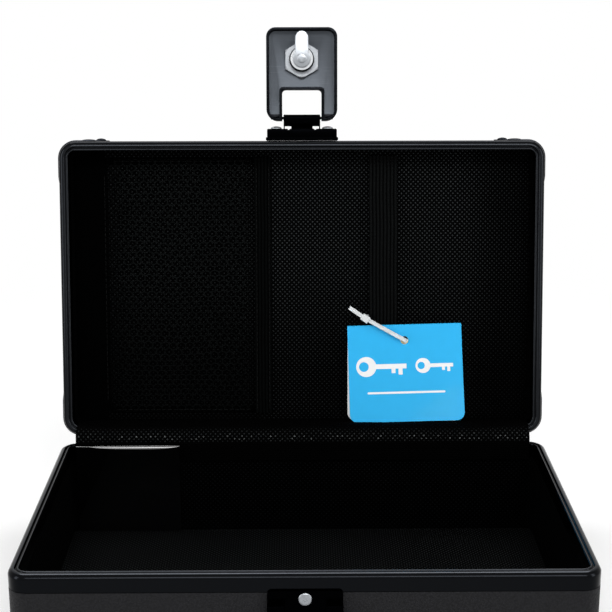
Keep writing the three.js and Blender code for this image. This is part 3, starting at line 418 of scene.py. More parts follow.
    def bevelled(self, width: float, segments: int = 2, angle: float = 40.0) -> "Shape":
        """The same solid with its sharp edges rounded.

        Args:
            width: How far the rounding reaches from an edge.
            segments: How many faces it has.
            angle: Edges sharper than this many degrees are rounded.

        Returns:
            The rounded solid.
        """
        mesh = self.mesh("bevelled")
        with edited(mesh) as edit:
            bmesh.ops.remove_doubles(edit, verts=edit.verts, dist=0.002)
            bmesh.ops.dissolve_limit(edit, angle_limit=math.radians(0.3), verts=edit.verts, edges=edit.edges)
            sharp = [edge for edge in edit.edges if edge.calc_face_angle(0.0) > math.radians(angle)]
            bmesh.ops.bevel(
                edit, geom=sharp, offset=width, segments=segments, profile=0.5, affect="EDGES",
                clamp_overlap=True,
            )
        return Shape.of(mesh)


@dataclass(frozen=True)
class Spot:
    """The rigid frame that a sub-assembly is modelled in, in millimetres."""

    matrix: Matrix

    def box(self, node: str) -> tuple[Vector, Vector]:
        """The lowest and highest corners of a node, in this frame.

        Args:
            node: The node's name.

        Returns:
            Both corners.
        """
        back = self.matrix.inverted()
        points = [back @ (vertex.co / MM) for vertex in frame["nodes"][node].data.vertices]
        low, high = (Vector([end(point[i] for point in points) for i in range(3)]) for end in (min, max))
        return low, high

    def size(self, node: str) -> Vector:
        """A node's size in this frame, in metres."""
        low, high = self.box(node)
        return (high - low) * MM

    def moved(self, shift: Vector, turn_x: float = 0.0) -> "Spot":
        """A frame that is moved, and then turned about its X axis by an angle in degrees."""
        return Spot(self.matrix @ Matrix.Translation(shift) @ turn(turn_x, "X"))

    def way(self, x: float, y: float, z: float) -> Vector:
        """A direction of this frame, as the object's."""
        return (self.matrix.to_3x3() @ Vector((x, y, z))).normalized()


def joint(name: str) -> tuple[Vector, float]:
    """A point on a joint's axis in millimetres, and the joint's upper limit in degrees."""
    found = next(entry for entry in frame["joints"] if entry["name"] == name)
    return Vector(found["pos_m"]) / MM, found["range_deg"][1]


HINGE_PIN, LID_SHUT = joint("lid_hinge")
HASP_AXIS, HASP_SHUT = joint("hasp_swing")
HOME = Spot(Matrix.Identity(4))
CLOSED = HOME.moved(HINGE_PIN, -LID_SHUT).moved(-HINGE_PIN)
LID_FACE_Z = CLOSED.box("lid_rim")[0].z
INSIDE = CLOSED.moved(Vector((0, 0, LID_FACE_Z)), 180)
HASP_PIN = CLOSED.matrix.inverted() @ HASP_AXIS
FLAP = CLOSED.moved(HASP_PIN, -HASP_SHUT)


class Value:
    """A shader value. Python's operators on it add Math nodes."""

    def __init__(self, tree: "Tree", socket: bpy.types.NodeSocket) -> None:
        """Wraps a socket of a tree."""
        self.tree = tree
        self.socket = socket

    def math(self, operation: str, *others: "Value | float") -> "Value":
        """The result of one Math node on this value and others."""
        return self.tree.node("ShaderNodeMath", {"operation": operation}, dict(enumerate((self, *others))))

    def __add__(self, other: "Value | float") -> "Value":
        """This value plus another."""
        return self.math("ADD", other)

    __radd__ = __add__

    def __sub__(self, other: "Value | float") -> "Value":
        """This value less another."""
        return self.math("SUBTRACT", other)

    def __rsub__(self, other: float) -> "Value":
        """A number less this value."""
        return self.tree.node("ShaderNodeMath", {"operation": "SUBTRACT"}, {0: other, 1: self})

    def __mul__(self, other: "Value | float") -> "Value":
        """This value times another."""
        return self.math("MULTIPLY", other)

    __rmul__ = __mul__

    def __pow__(self, other: float) -> "Value":
        """This value to a power."""
        return self.math("POWER", other)

    def __abs__(self) -> "Value":
        """This value without its sign."""
        return self.math("ABSOLUTE")

    def sine(self) -> "Value":
        """The sine of this value."""
        return self.math("SINE")

    def step(self, low: float, high: float) -> "Value":
        """0 at one value, 1 at another, and smooth between them."""
        sockets = {"Value": self, "From Min": low, "From Max": high}
        return self.tree.node("ShaderNodeMapRange", {"interpolation_type": "SMOOTHSTEP"}, sockets)


class Tree:
    """A tree of shader nodes."""

    def __init__(self, graph: bpy.types.NodeTree) -> None:
        """Wraps Blender's tree."""
        self.graph = graph

    def put(self, target: bpy.types.NodeSocket, value: object) -> None:
        """Links a value to a socket, or sets the socket to a constant.

        Args:
            target: The socket.
            value: A value of the tree, a number or a colour.
        """
        if isinstance(value, Value):
            self.graph.links.new(value.socket, target)
        elif isinstance(value, tuple) and target.type == "RGBA":
            target.default_value = (*value, 1.0)
        else:
            target.default_value = value

    def node(
        self, kind: str, settings: dict | None = None, inputs: dict | None = None, output: int | str = 0,
    ) -> Value:
        """Adds a node.

        Args:
            kind: The node's type.
            settings: Its settings.
            inputs: Values, colours or numbers for its sockets, by name or number.
            output: The output that is wanted.

        Returns:
            That output.
        """
        made = self.graph.nodes.new(kind)
        for name, value in (settings or {}).items():
            setattr(made, name, value)
        for name, value in (inputs or {}).items():
            self.put(made.inputs[name], value)
        return Value(self, made.outputs[output])

    def white_to_eye(self) -> Value:
        """A factor that is 1 for rays from the camera, off gloss and through glass.

        Returns:
            The factor.
        """
        total = self.node("ShaderNodeLightPath", output="Is Camera Ray")
        path = total.socket.node
        for name in ("Is Glossy Ray", "Is Transmission Ray"):
            total = total.math("MAXIMUM", Value(self, path.outputs[name]))
        return total

    def show(self, factor: Value, first: Value, second: Value) -> None:
        """Sends a mix of two shaders to the output.

        Args:
            factor: The second one's share.
            first: The first shader.
            second: The second shader.
        """
        mixed = self.node("ShaderNodeMixShader", inputs={0: factor, 1: first, 2: second})
        output = next(node for node in self.graph.nodes if node.type.startswith("OUTPUT"))
        self.put(output.inputs["Surface"], mixed)


class Look(Tree):
    """The node tree of one material, round its Principled shader."""

    def __init__(self, name: str) -> None:
        """Starts a material.

        Args:
            name: Its name.
        """
        self.material = bpy.data.materials.new(name)
        self.material.use_nodes = True
        super().__init__(self.material.node_tree)
        self.shader = self.graph.nodes["Principled BSDF"]

    def set(self, **sockets: object) -> None:
        """Sets or links sockets of the shader, with _ for a space in their names."""
        for name, value in sockets.items():
            self.put(self.shader.inputs[name.replace("_", " ")], value)

    def place(self) -> Value:
        """The point on the object, in millimetres."""
        source = self.node("ShaderNodeTexCoord", output="Object")
        return self.node("ShaderNodeVectorMath", {"operation": "SCALE"}, {0: source, "Scale": 1 / MM})

    def cloth(self) -> Value:
        """The flat cloth coordinates, in millimetres."""
        return self.node("ShaderNodeAttribute", {"attribute_name": CLOTH}, output="Vector")

    def across_along(self) -> tuple[Value, Value]:
        """The cloth coordinates across the piece and along it."""
        across = self.node("ShaderNodeSeparateXYZ", inputs={0: self.cloth()})
        return across, Value(self, across.socket.node.outputs[1])

    def noise(self, vector: Value, scale: float, detail: float = 2.0) -> Value:
        """Smooth noise from 0 to 1 over a vector."""
        sockets = {"Vector": vector, "Scale": scale, "Detail": detail, "Roughness": 0.5}
        return self.node("ShaderNodeTexNoise", {"noise_dimensions": "3D"}, sockets)

    def stretched(self, vector: Value, shares: Triple) -> Value:
        """A vector with each of its numbers multiplied by its own share."""
        return self.node("ShaderNodeVectorMath", {"operation": "MULTIPLY"}, {0: vector, 1: shares})

    def mix(self, factor: Value, first: object, second: object) -> Value:
        """A colour between two others."""
        return self.node("ShaderNodeMix", {"data_type": "RGBA"}, {0: factor, 6: first, 7: second}, 2)

    def bump(self, height: Value, depth: float) -> None:
        """Feeds the shader's normal from a height of 0 to 1 that is `depth` millimetres deep."""
        sockets = {"Height": height, "Distance": depth * MM, "Strength": 1.0}
        self.set(Normal=self.node("ShaderNodeBump", inputs=sockets))


@dataclass(frozen=True)
class Finish(ABC):
    """How a piece's surface looks."""

    name: str
    slot: str

    @abstractmethod
    def dress(self, look: Look) -> None:
        """Adds the finish's nodes to a look."""

    def material(self) -> bpy.types.Material:
        """The finish's material, made once.

        Returns:
            The material.
        """
        found = bpy.data.materials.get(self.name)
        if found is None:
            look = Look(self.name)
            self.dress(look)
            found = look.material
        return found


@dataclass(frozen=True)
class GrainedSkin(Finish):
    """A thin pebble-grained covering, smoothed a little by use in patches."""

    colour: Colour
    pebble: float = 0.75
    depth: float = 0.16

    def dress(self, look: Look) -> None:
        """Adds pebbles of two sizes, with glossier tops and painted shade in the hollows between them.

        Args:
            look: The look.
        """
        place = look.place()
        sockets = {"Vector": place, "Scale": 1 / self.pebble, "Smoothness": 0.35}
        pebbles = 1 - look.node("ShaderNodeTexVoronoi", {"feature": "SMOOTH_F1"}, sockets)
        fine = look.noise(place, 4.0, 3.0)
        # wear only here: patches smoothed by use, which change the roughness alone
        wear_and_painted_light = look.noise(place, 0.05).step(0.42, 0.62)
        height = pebbles * 0.8 + fine * 0.2
        # painted shade: the hollows between the pebbles are painted down to about half the colour
        look.set(
            Base_Color=look.mix(height.step(0.25, 0.85), scaled(self.colour, 0.55), self.colour),
            Roughness=0.62 - 0.06 * wear_and_painted_light - 0.1 * height,
            Specular_IOR_Level=0.1,
        )
        look.bump(height, self.depth)


@dataclass(frozen=True)
class Enamel(Finish):
    """Satin black enamel on metal, with a faint orange peel and fine rubs along its surface."""

    colour: Colour
    roughness: float
    edge: float
    peel: float = 0.02

    def dress(self, look: Look) -> None:
        """Adds the peel, and rubs that catch light.

        Args:
            look: The look.
        """
        place = look.place()
        peel = look.noise(place, 1.6)
        rubs = look.noise(look.stretched(place, (0.12, 2.6, 2.6)), 1.0, 3.0).step(0.55, 0.8)
        cloud = look.noise(place, 0.09, 3.0)
        look.set(
            Base_Color=look.mix(rubs * 0.5 + cloud * 0.3, self.colour, scaled(self.colour, 1.7)),
            Metallic=1.0,
            Specular_Tint=(self.edge, self.edge, self.edge),
            Roughness=self.roughness + 0.1 * cloud + 0.06 * rubs,
        )
        look.bump(peel, self.peel)


@dataclass(frozen=True)
class PaintedHighlightRim(Finish):
    """Gloss black paint on a rolled rim, with a painted highlight: a paler metal colour along the crests of
    its ridges.
    """

    colour: Colour
    # the colour of the painted highlight on the crests
    crest: Colour
    facing: Triple
    level: float
    roughness: float = 0.12
    edge: float = 0.78
    peel: float = 0.012

    def dress(self, look: Look) -> None:
        """Adds the painted highlight on the crests, found by how far the surface stands out of the rim's
        face, and a faint peel.

        Args:
            look: The look.
        """
        place = look.place()
        sockets = {0: place, 1: self.facing}
        out = look.node("ShaderNodeVectorMath", {"operation": "DOT_PRODUCT"}, sockets, "Value")
        peel = look.noise(place, 1.6)
        cloud = look.noise(place, 0.09, 3.0)
        # painted highlight: the crests of the ridges take the paler colour, for the light that they catch
        wear_and_painted_light = (out - self.level).step(-0.34, -0.01) * (0.72 + 0.4 * cloud)
        look.set(
            Base_Color=look.mix(wear_and_painted_light, self.colour, self.crest),
            Metallic=1.0,
            Specular_Tint=(self.edge, self.edge, self.edge),
            Roughness=self.roughness + 0.08 * cloud,
        )
        look.bump(peel, self.peel)


@dataclass(frozen=True)
class Plating(Finish):
    """Plated or bare metal, brushed along one axis, with duller spots."""

    colour: Colour
    roughness: float
    grain: Triple = (0.15, 4.0, 4.0)
    depth: float = 0.006

    def dress(self, look: Look) -> None:
        """Adds the brushing and the spots.

        Args:
            look: The look.
        """
        place = look.place()
        brushed = look.noise(look.stretched(place, self.grain), 1.0, 3.0)
        spots = look.noise(place, 0.5, 3.0).step(0.5, 0.78)
        look.set(
            Base_Color=look.mix(spots * 0.6, self.colour, scaled(self.colour, 0.72)),
            Metallic=1.0,
            Roughness=self.roughness + 0.12 * spots + 0.08 * brushed,
        )
        look.bump(brushed, self.depth)


@dataclass(frozen=True)
class PaintedShade:
    """Painted shade: how a cloth's colour darkens from one place across or along it to another, where less
    light falls.
    """

    across: bool
    clear: float
    deep: float
    least: float

    def on(self, look: Look, tone: Value) -> Value:
        """A tone with the painted shade on it.

        Args:
            look: The look that the tone belongs to.
            tone: The tone.

        Returns:
            The tone, darkened by the painted shade.
        """
        across, along = look.across_along()
        place = across if self.across else along
        return tone * (self.least + (1 - self.least) * place.step(self.deep, self.clear))


@dataclass(frozen=True)
class BasketWeave(Finish):
    """Coated fabric in a plain weave of flat yarns, one way glossier than the other, with a painted highlight
    on the floats of that way.
    """

    dark: Colour
    # the pale colour is the painted highlight on the knots
    light: Colour
    yarn: float = 1.03
    gloss: float = 0.45
    matt: float = 0.9
    shine: float = 0.014
    depth: float = 0.3
    # the band along the cloth that gets painted glints, with painted shade away from it
    crest: Pair | None = None
    # painted shade: darkens the cloth towards the places where less light falls
    painted_shades: tuple[PaintedShade, ...] = ()
    # the colour of the painted glints
    painted_glint: Colour = (0.12, 0.128, 0.128)

    def wear_and_painted_light(self, look: Look, along: Value, knot: Value, tone: Value) -> Value:
        """The colour with painted glints on its knots in spots along a crest, and painted shade that darkens
        it away from the crest.

        Args:
            look: The look that the values belong to.
            along: The place along the cloth.
            knot: How far the point is on a knot of the weave.
            tone: The weave's tone.

        Returns:
            The colour.
        """
        low, high = self.crest
        # painted shade: away from the crest band the weave falls to its dark colour
        band = along.step(low - 1.5, low + 0.5) * (1 - along.step(high - 1.0, high + 3.0))
        # painted glints: knots in spots near the start of the crest take the glint colour
        edge = along.step(low - 0.5, low + 0.3) * (1 - along.step(low + 1.4, low + 3.2))
        spots = look.noise(look.stretched(look.cloth(), (0.45, 0.9, 1.0)), 1.0).step(0.5, 0.66)
        return look.mix(knot * edge * spots, look.mix(tone * band, self.dark, self.light), self.painted_glint)

    def dress(self, look: Look) -> None:
        """Adds warp and weft that pass over each other in turn.

        Args:
            look: The look.
        """
        across, along = look.across_along()
        wave_u = (across * (math.pi / self.yarn)).sine()
        wave_v = (along * (math.pi / self.yarn)).sine()
        warp = (wave_u * wave_v).step(-0.12, 0.12)
        height = abs(wave_u) ** 0.55 * abs(wave_v) ** 0.55 * (0.62 + 0.38 * warp)
        fibre = look.noise(look.stretched(look.cloth(), (6.0, 6.0, 1.0)), 1.0)
        cloud = look.noise(look.cloth(), 0.035, 3.0)
        knot = (wave_u * wave_v).step(0.25, 0.95)
        # painted highlight: the knots of one way's floats are painted pale, for the light that they catch;
        # the rest stays near the dark colour
        tone = knot * (0.5 + 0.3 * fibre + 0.6 * cloud) + 0.05 * height
        # painted shade where less light falls
        for fade in self.painted_shades:
            tone = fade.on(look, tone)
        look.set(
            Base_Color=(
                self.wear_and_painted_light(look, along, knot, tone) if self.crest else look.mix(tone, self.dark, self.light)
            ),
            Roughness=self.matt - (self.matt - self.gloss) * knot + 0.08 * fibre,
            Specular_IOR_Level=self.shine,
        )
        look.bump(height + 0.12 * fibre, self.depth)


@dataclass(frozen=True)
class Yarn(Finish):
    """Knitted or ribbed yarn in elastic and net, matt with a soft sheen."""

    dark: Colour
    light: Colour
    pitch: float = 0.55
    shine: float = 0.025
    # painted shade: darkens the yarn towards the places where less light falls
    painted_shades: tuple[PaintedShade, ...] = ()
    depth: float = 0.09

    def dress(self, look: Look) -> None:
        """Adds short slanted stitches along the piece.

        Args:
            look: The look.
        """
        across, along = look.across_along()
        zigzag = abs((across * (math.pi / self.pitch)).sine()) * 2.2
        slant = (along * (2 * math.pi / self.pitch) + zigzag).sine()
        stitch = slant * 0.5 + 0.5
        fuzz = look.noise(look.place(), 5.0, 3.0)
        tone = stitch * 0.7 + fuzz * 0.3
        shade = tone.step(0.1, 0.9)
        # painted shade where less light falls
        for fade in self.painted_shades:
            shade = fade.on(look, shade)
        look.set(
            Base_Color=look.mix(shade, self.dark, self.light),
            Roughness=0.82 - 0.14 * stitch,
            Specular_IOR_Level=self.shine,
        )
        look.bump(tone, self.depth)


@dataclass(frozen=True)
class RibbedElastic(Finish):
    """Woven elastic with ribs along it, painted shade between them, and small slanted stitches on them."""

    dark: Colour
    light: Colour
    rib: float = 1.55
    stitch: float = 0.6
    shine: float = 0.02
    depth: float = 0.12

    def dress(self, look: Look) -> None:
        """Adds the ribs and their stitches.

        Args:
            look: The look.
        """
        across, along = look.across_along()
        crown = abs((across * (math.pi / self.rib)).sine()) ** 0.7
        slant = (along * (2 * math.pi / self.stitch) + crown * 2.4).sine() * 0.5 + 0.5
        fuzz = look.noise(look.place(), 4.0, 3.0)
        # painted shade: between the ribs the tone falls to the dark colour
        tone = crown.step(0.25, 1.0) * (0.35 + 0.4 * slant + 0.3 * fuzz)
        look.set(
            Base_Color=look.mix(tone, self.dark, self.light),
            Roughness=0.86 - 0.16 * crown,
            Specular_IOR_Level=self.shine,
        )
        look.bump(crown * 0.7 + slant * 0.3, self.depth)


@dataclass(frozen=True)
class CoatedCard(Finish):
    """Printed card with a coat over its fibres."""

    colour: Colour
    roughness: float
    coat: float
    shine: float = 0.3
    coat_ior: float = 1.5
    depth: float = 0.006

    def dress(self, look: Look) -> None:
        """Adds a little mottling under the coat.

        Args:
            look: The look.
        """
        place = look.place()
        mottle = look.noise(place, 0.22, 4.0)
        fibre = look.noise(place, 3.2, 3.0)
        look.set(
            Base_Color=look.mix(mottle, scaled(self.colour, 0.93), self.colour),
            Roughness=self.roughness + 0.08 * fibre,
            Specular_IOR_Level=self.shine,
            Coat_Weight=self.coat,
            Coat_IOR=self.coat_ior,
            Coat_Roughness=0.07,
        )
        look.bump(fibre * 0.6 + mottle * 0.4, self.depth)


@dataclass(frozen=True)
class ClearNylon(Finish):
    """Milky moulded nylon that lets some light through."""

    colour: Colour
    roughness: float = 0.3
    depth: float = 0.02

    def dress(self, look: Look) -> None:
        """Adds faint flow marks.

        Args:
            look: The look.
        """
        flow = look.noise(look.stretched(look.place(), (0.5, 2.0, 2.0)), 1.0)
        look.set(
            Base_Color=look.mix(flow, self.colour, scaled(self.colour, 1.06)),
            Roughness=self.roughness + 0.12 * flow,
            Transmission_Weight=0.2,
            IOR=1.53,
        )
        look.bump(flow, self.depth)


BOARD = GrainedSkin("black_board", "board", (0.012, 0.012, 0.0135))
CAP = Enamel("cap_enamel", "cap", (0.016, 0.0172, 0.02), 0.26, 0.1)
LATCH = Enamel("latch_enamel", "latch", (0.0004, 0.00045, 0.0006), 0.2, 0.06)
FLAP_OUTER = Enamel("flap_enamel", "latch", (0.0045, 0.005, 0.006), 0.22, 0.1)
# painted reflection: the inside of the flap's panel gets a paler metal colour than its outside, and its heels
# a dimmer one
LATCH_PAINTED_REFLECTION = Enamel("latch_inside_painted_reflection", "latch", (0.055, 0.061, 0.0695), 0.38, 0.6)
LATCH_HEEL = Enamel("latch_heel_enamel", "latch", (0.0165, 0.0175, 0.02), 0.4, 0.3)
STEEL = Plating("nickel_steel", "steel", (0.3, 0.315, 0.335), 0.26)
CHROME = Plating("polished_chrome", "chrome", (0.66, 0.68, 0.7), 0.1, (0.6, 0.6, 0.6), 0.002)
BRASS = Plating("key_brass", "brass", (0.64, 0.51, 0.27), 0.3)
INKY = (0.0002, 0.0002, 0.0002)
RIM_BLACK = (0.0058, 0.0063, 0.0073)
# painted highlight colours for the crests of the rims' ridges, paler on the base's rim
LID_PAINTED_HIGHLIGHT = (0.0145, 0.0157, 0.0176)
BASE_PAINTED_HIGHLIGHT = (0.029, 0.0313, 0.0352)
# painted shade: a dark copy of the weave for the walls inside both halves
SHADED_WEAVE = BasketWeave("shaded_basket_weave", "lining", INKY, (0.0034, 0.0038, 0.0041), shine=0.006)
# painted shade and painted glints: the hinge cloth is the weave at about half its light, with glints along
# its crest
HINGE_WEAVE = BasketWeave("hinge_basket_weave", "lining", INKY, (0.0125, 0.0138, 0.0144), crest=(9.2, 12.8))
FLOOR_WEAVE = BasketWeave("base_floor_weave", "lining", INKY, (0.021, 0.0232, 0.0242))
# painted shade on the lid's floor cloth: darker over its left part under the pocket, towards its right wall
# and towards the hinge
LID_PAINTED_SHADE = (PaintedShade(True, -13.0, -23.0, 0.44), PaintedShade(True, 66.0, 92.0, 0.42), PaintedShade(False, -16.0, 46.0, 0.36))
LID_WEAVE = BasketWeave("lid_basket_weave", "lining", INKY, (0.026, 0.0288, 0.03), painted_shades=LID_PAINTED_SHADE)
# painted shade on the net: darker towards its left edge and towards the hinge
NET_PAINTED_SHADE = (PaintedShade(True, -76.0, -89.0, 0.2), PaintedShade(False, 15.0, -40.0, 0.6))
NET = Yarn("pocket_net", "net", INKY, (0.0066, 0.0077, 0.0077), 0.45, 0.008, NET_PAINTED_SHADE)
HEM = Yarn("pocket_hem_yarn", "net", INKY, (0.0005, 0.0006, 0.0006), 0.5, 0.004)
ELASTIC = RibbedElastic("strap_elastic_weave", "elastic", INKY, (0.0042, 0.0048, 0.0049))
BINDING = RibbedElastic("binding_elastic_weave", "elastic", INKY, (0.0018, 0.0022, 0.0022), 1.48, shine=0.01)
THREAD = Yarn("black_thread", "elastic", (0.0008, 0.0008, 0.0008), (0.009, 0.0095, 0.0095))
TAG_BLUE = CoatedCard("tag_blue", "tag", (0.028, 0.455, 0.87), 0.4, 0.05, 0.08)
TAG_WHITE = CoatedCard("tag_white", "tag", (0.88, 0.885, 0.89), 0.5, 0.0)
NYLON = ClearNylon("tie_nylon", "nylon", (0.78, 0.81, 0.82))
CARD = CoatedCard("card_black", "card", (0.0004, 0.0004, 0.0005), 0.2, 1.0, 0.02, 2.1)


def rivet(radius: float, height: float, flat: float) -> Shape:
    """A domed rivet head along +Z, with its seat at 0.

    Args:
        radius: Its radius.
        height: How high it stands.
        flat: The radius of the shallow dimple in its top.

    Returns:
        The head.
    """
    dome = arc((0, 0), (radius, height), 0, 84, 8)
    top = dome[-1][1]
    rise = [point for point in dome if point[0] > flat]
    dimple = [(flat, top), (flat * 0.9, top - 0.12), (0, top - 0.12)]
    return Shape.turned([(radius * 0.94, -0.15), (radius, -0.06), *rise, *dimple], 32)


def rod(x: Pair, pin: Vector, radius: float, chamfer: float, sides: int, bore: float = 0.0) -> Shape:
    """A round rod along X with chamfered ends, solid or with a bore.

    Args:
        x: Its ends.
        pin: A point on its axis.
        radius: Its radius.
        chamfer: The size of its chamfers.
        sides: How many sides it has.
        bore: The radius of its bore, or 0 for none.

    Returns:
        The rod.
    """
    near = [(bore, 0.0), (radius - chamfer, 0.0), (radius, chamfer)]
    far = [(r, x[1] - x[0] - h) for r, h in reversed(near)]
    return Shape.turned([*near, *far], sides, bore > 0).at((x[0], pin.y, pin.z), 90, "Y")


@dataclass
class Assembly(ABC):
    """A sub-assembly: what its pieces have in common, and how they are put in place."""

    spot: Spot
    body: str

    @abstractmethod
    def build(self) -> None:
        """Makes all of its pieces."""

    def piece(
        self, name: str, shape: Shape, finish: Finish, replaces: Sequence[str] = (), smooth: float = 35.0,
        spot: Spot | None = None, rides: bool = True,
    ) -> bpy.types.Object:
        """Turns a shape into a piece.

        Args:
            name: The piece's name.
            shape: Its shape, in the sub-assembly's frame.
            finish: Its finish.
            replaces: The frame's nodes that it stands for.
            smooth: Edges sharper than this many degrees stay hard.
            spot: Another frame that the shape was made in.
            rides: Whether it moves with the sub-assembly's body.

        Returns:
            The piece.
        """
        mesh = shape.mesh(name)
        mesh.transform(Matrix.Scale(MM, 4) @ (spot or self.spot).matrix)
        with edited(mesh) as edit:
            for face in edit.faces:
                face.smooth = True
            for edge in edit.edges:
                edge.smooth = edge.calc_face_angle(0.0) < math.radians(smooth)
        mesh.materials.append(finish.material())
        made = bpy.data.objects.new(name, mesh)
        bpy.context.scene.collection.objects.link(made)
        if rides:
            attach(made, self.body)
        if replaces:
            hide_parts(*replaces)
        LOG.info("%s: %d faces, on %s", name, len(mesh.polygons), self.body)
        return made

    def wall_rivet(
        self, name: str, node: str, side: int, height: float = 0.9, spot: Spot | None = None,
    ) -> None:
        """Makes a rivet whose head stands out of the front or the rear wall.

        Args:
            name: The piece's name.
            node: The frame's node that it stands for.
            side: -1 for the front wall, 1 for the rear wall.
            height: How far its head stands out.
            spot: Another frame that the node is square in.
        """
        low, high = (spot or self.spot).box(node)
        seat = high.y - height if side > 0 else low.y + height
        place = ((low.x + high.x) / 2, seat, (low.z + high.z) / 2)
        self.piece(name, rivet(WALL_RIVET, height, DIMPLE).at(place, -90 * side), STEEL, [node], 40, spot)


@dataclass
class CaseHalf(Assembly):
    """One half of the case: its board, rim, linings and pressed corner caps."""

    half: str
    face_z: float
    far_z: float
    lining: Finish = LID_WEAVE
    # the colour of the painted highlight on the rim's crests
    crest: Colour = LID_PAINTED_HIGHLIGHT
    corner_radius: float = 7.3
    edge_radius: float = 2.0
    board: float = 2.6
    cap_sheet: float = 0.8
    cap_proud: float = 0.5
    cap_height: float = 17.5
    cap_edge: float = 15.0
    cap_lobe: float = 20.5
    button_inset: float = 11.6
    button_radius: float = 3.1
    button_proud: float = 0.55
    rim_width: float = 4.15
    shoulder: float = 2.15
    rivet_inset: float = 16.9
    rivet_radius: float = 2.2
    rivet_proud: float = 0.9
    lining_sheet: float = 0.8
    lining_steps: tuple[int, int] = (100, 60)
    corner_steps: int = 12
    over: float = 4.0

    def __post_init__(self) -> None:
        """Reads the case's size from the frame."""
        self.half_x, self.half_y, _ = self.spot.box(f"{self.half}_shell")[1]
        self.sign = 1.0 if self.far_z > self.face_z else -1.0
        self.height = abs(self.far_z - self.face_z)
        rim_low, rim_high = self.spot.box(f"{self.half}_rim")
        self.rim_height = self.depth(rim_high.z if self.sign > 0 else rim_low.z)

    def depth(self, z: float) -> float:
        """How far behind the rim's face a height is."""
        return (z - self.face_z) * self.sign

    def z(self, depth: float) -> float:
        """The height of a depth behind the rim's face."""
        return self.face_z + self.sign * depth

    def swept(self, profile: Sequence[Pair], closed: bool) -> Shape:
        """A profile carried round the case.

        Args:
            profile: Its points, each an inset and a depth behind the rim's face.
            closed: Whether it makes a ring. If not, it makes a tray with flat ends.

        Returns:
            The solid.
        """
        rings = []
        for inset, depth in profile:
            x, y = self.half_x - inset, self.half_y - inset
            outline = rounded((-x, x), (-y, y), max(self.corner_radius - inset, 0.6), steps=self.corner_steps)
            rings.append([Vector((*point, self.z(depth))) for point in outline])
        return Shape.rings(rings, closed)

    def block(self, side: float, far: float, near: float) -> Shape:
        """A solid block of the half.

        Args:
            side: How far its side faces are moved in.
            far: How far its far face is moved in.
            near: The depth that it starts at.

        Returns:
            The block.
        """
        radius = self.edge_radius
        edge = arc((side + radius, self.height - far - radius), radius, 90, 180)
        return self.swept([*edge, (side, near)], False)

    def region(self, grow: float) -> Shape:
        """The space of the cap towards +X and +Y: three lobes that meet at the corner.

        Args:
            grow: How far the space reaches past the cap.

        Returns:
            The space.
        """
        x, y, over, board, edge = self.half_x, self.half_y, self.over, self.board, self.cap_edge + grow
        middle, bulge = self.cap_height / 2, self.cap_lobe - self.cap_edge
        radius = (middle**2 + bulge**2) / (2 * bulge)
        half = math.degrees(math.asin(middle / radius))
        round_end = arc((self.cap_lobe - radius, middle), radius + grow, -half, half, 16)
        lobe = [(-over, -over), (round_end[0][0], -over), *round_end, (-over, round_end[-1][1])]
        lobe = [(along, self.z(self.height - rise)) for along, rise in lobe]
        fan = arc((board, board), edge - board, 0, 90, 16)
        corner = [(-over, -over), (edge, -over), *fan, (-over, edge)]
        far = span(self.z(self.height + over), self.z(self.height - board))
        return Shape.slab([(x - along, z) for along, z in lobe], Axis.Y, y - board, y + over).combined(
            Join.ADD,
            Shape.slab([(y - along, z) for along, z in lobe], Axis.X, x - board, x + over),
            Shape.slab([(x - a, y - b) for a, b in corner], Axis.Z, *far),
        )

    def cap(self) -> Shape:
        """The pressed cap towards +X and +Y, with a button and a rivet on each of its two side faces.

        Returns:
            The cap.
        """
        inner = self.block(self.cap_sheet - self.cap_proud, self.cap_sheet, -self.over)
        sheet = self.block(-self.cap_proud, 0, 0).combined(Join.CUT, inner)
        made = sheet.combined(Join.COMMON, self.region(0)).bevelled(0.16, 2, 50)
        radius, proud = self.button_radius, self.button_proud
        swell = arc((0, 0), (radius, proud), 20, 84, 8)
        button = Shape.turned([(radius, -0.2), (radius * 0.98, 0.02), *swell, (0, proud)], 36)
        head = rivet(self.rivet_radius, self.rivet_proud, 0.55)
        x, y, up = self.half_x, self.half_y, self.z(self.height - self.cap_height / 2)
        for inset, knob in ((self.button_inset, button), (self.rivet_inset, head)):
            made += knob.at((x - inset, y + self.cap_proud, up), -90)
            made += knob.at((x + self.cap_proud, y - inset, up), 90, "Y")
        return made

    def rebated(self, solid: Shape) -> Shape:
        """A solid of the half with room cut in it for the caps.

        Args:
            solid: The solid.

        Returns:
            The cut solid.
        """
        seat = self.block(self.cap_sheet - self.cap_proud + GAP, self.cap_sheet + GAP, -self.over)
        space = self.region(GAP).combined(Join.CUT, seat)
        return solid.combined(Join.CUT, *(space.mirrored(x, y) for x in (-1, 1) for y in (-1, 1)))

    def shell(self) -> Shape:
        """The tub of board, with rebates for the caps.

        Returns:
            The tub.
        """
        top, floor, radius = self.rim_height + GAP, self.height - self.board, self.edge_radius
        edge = arc((radius, self.height - radius), radius, 180, 90)
        return self.rebated(self.swept([(self.board, floor), (self.board, top), (0, top), *edge], False))

    def rim(self) -> Shape:
        """The rolled metal rim: a shoulder, a groove and a ridge, notched where the caps reach it.

        Returns:
            The rim.
        """
        ring = self.swept(
            [
                (0, self.rim_height),
                *arc((self.shoulder, self.shoulder), self.shoulder, 180, 270, 12),
                (2.42, 0.1), (2.58, 0.42), (2.78, 0.52), (2.98, 0.46),
                *arc((3.58, 0.5), 0.5, 190, 360, 10),
                (self.rim_width, 0.95), (self.rim_width, self.rim_height),
            ],
            True,
        )
        return ring if self.height - self.cap_height > self.rim_height else self.rebated(ring)

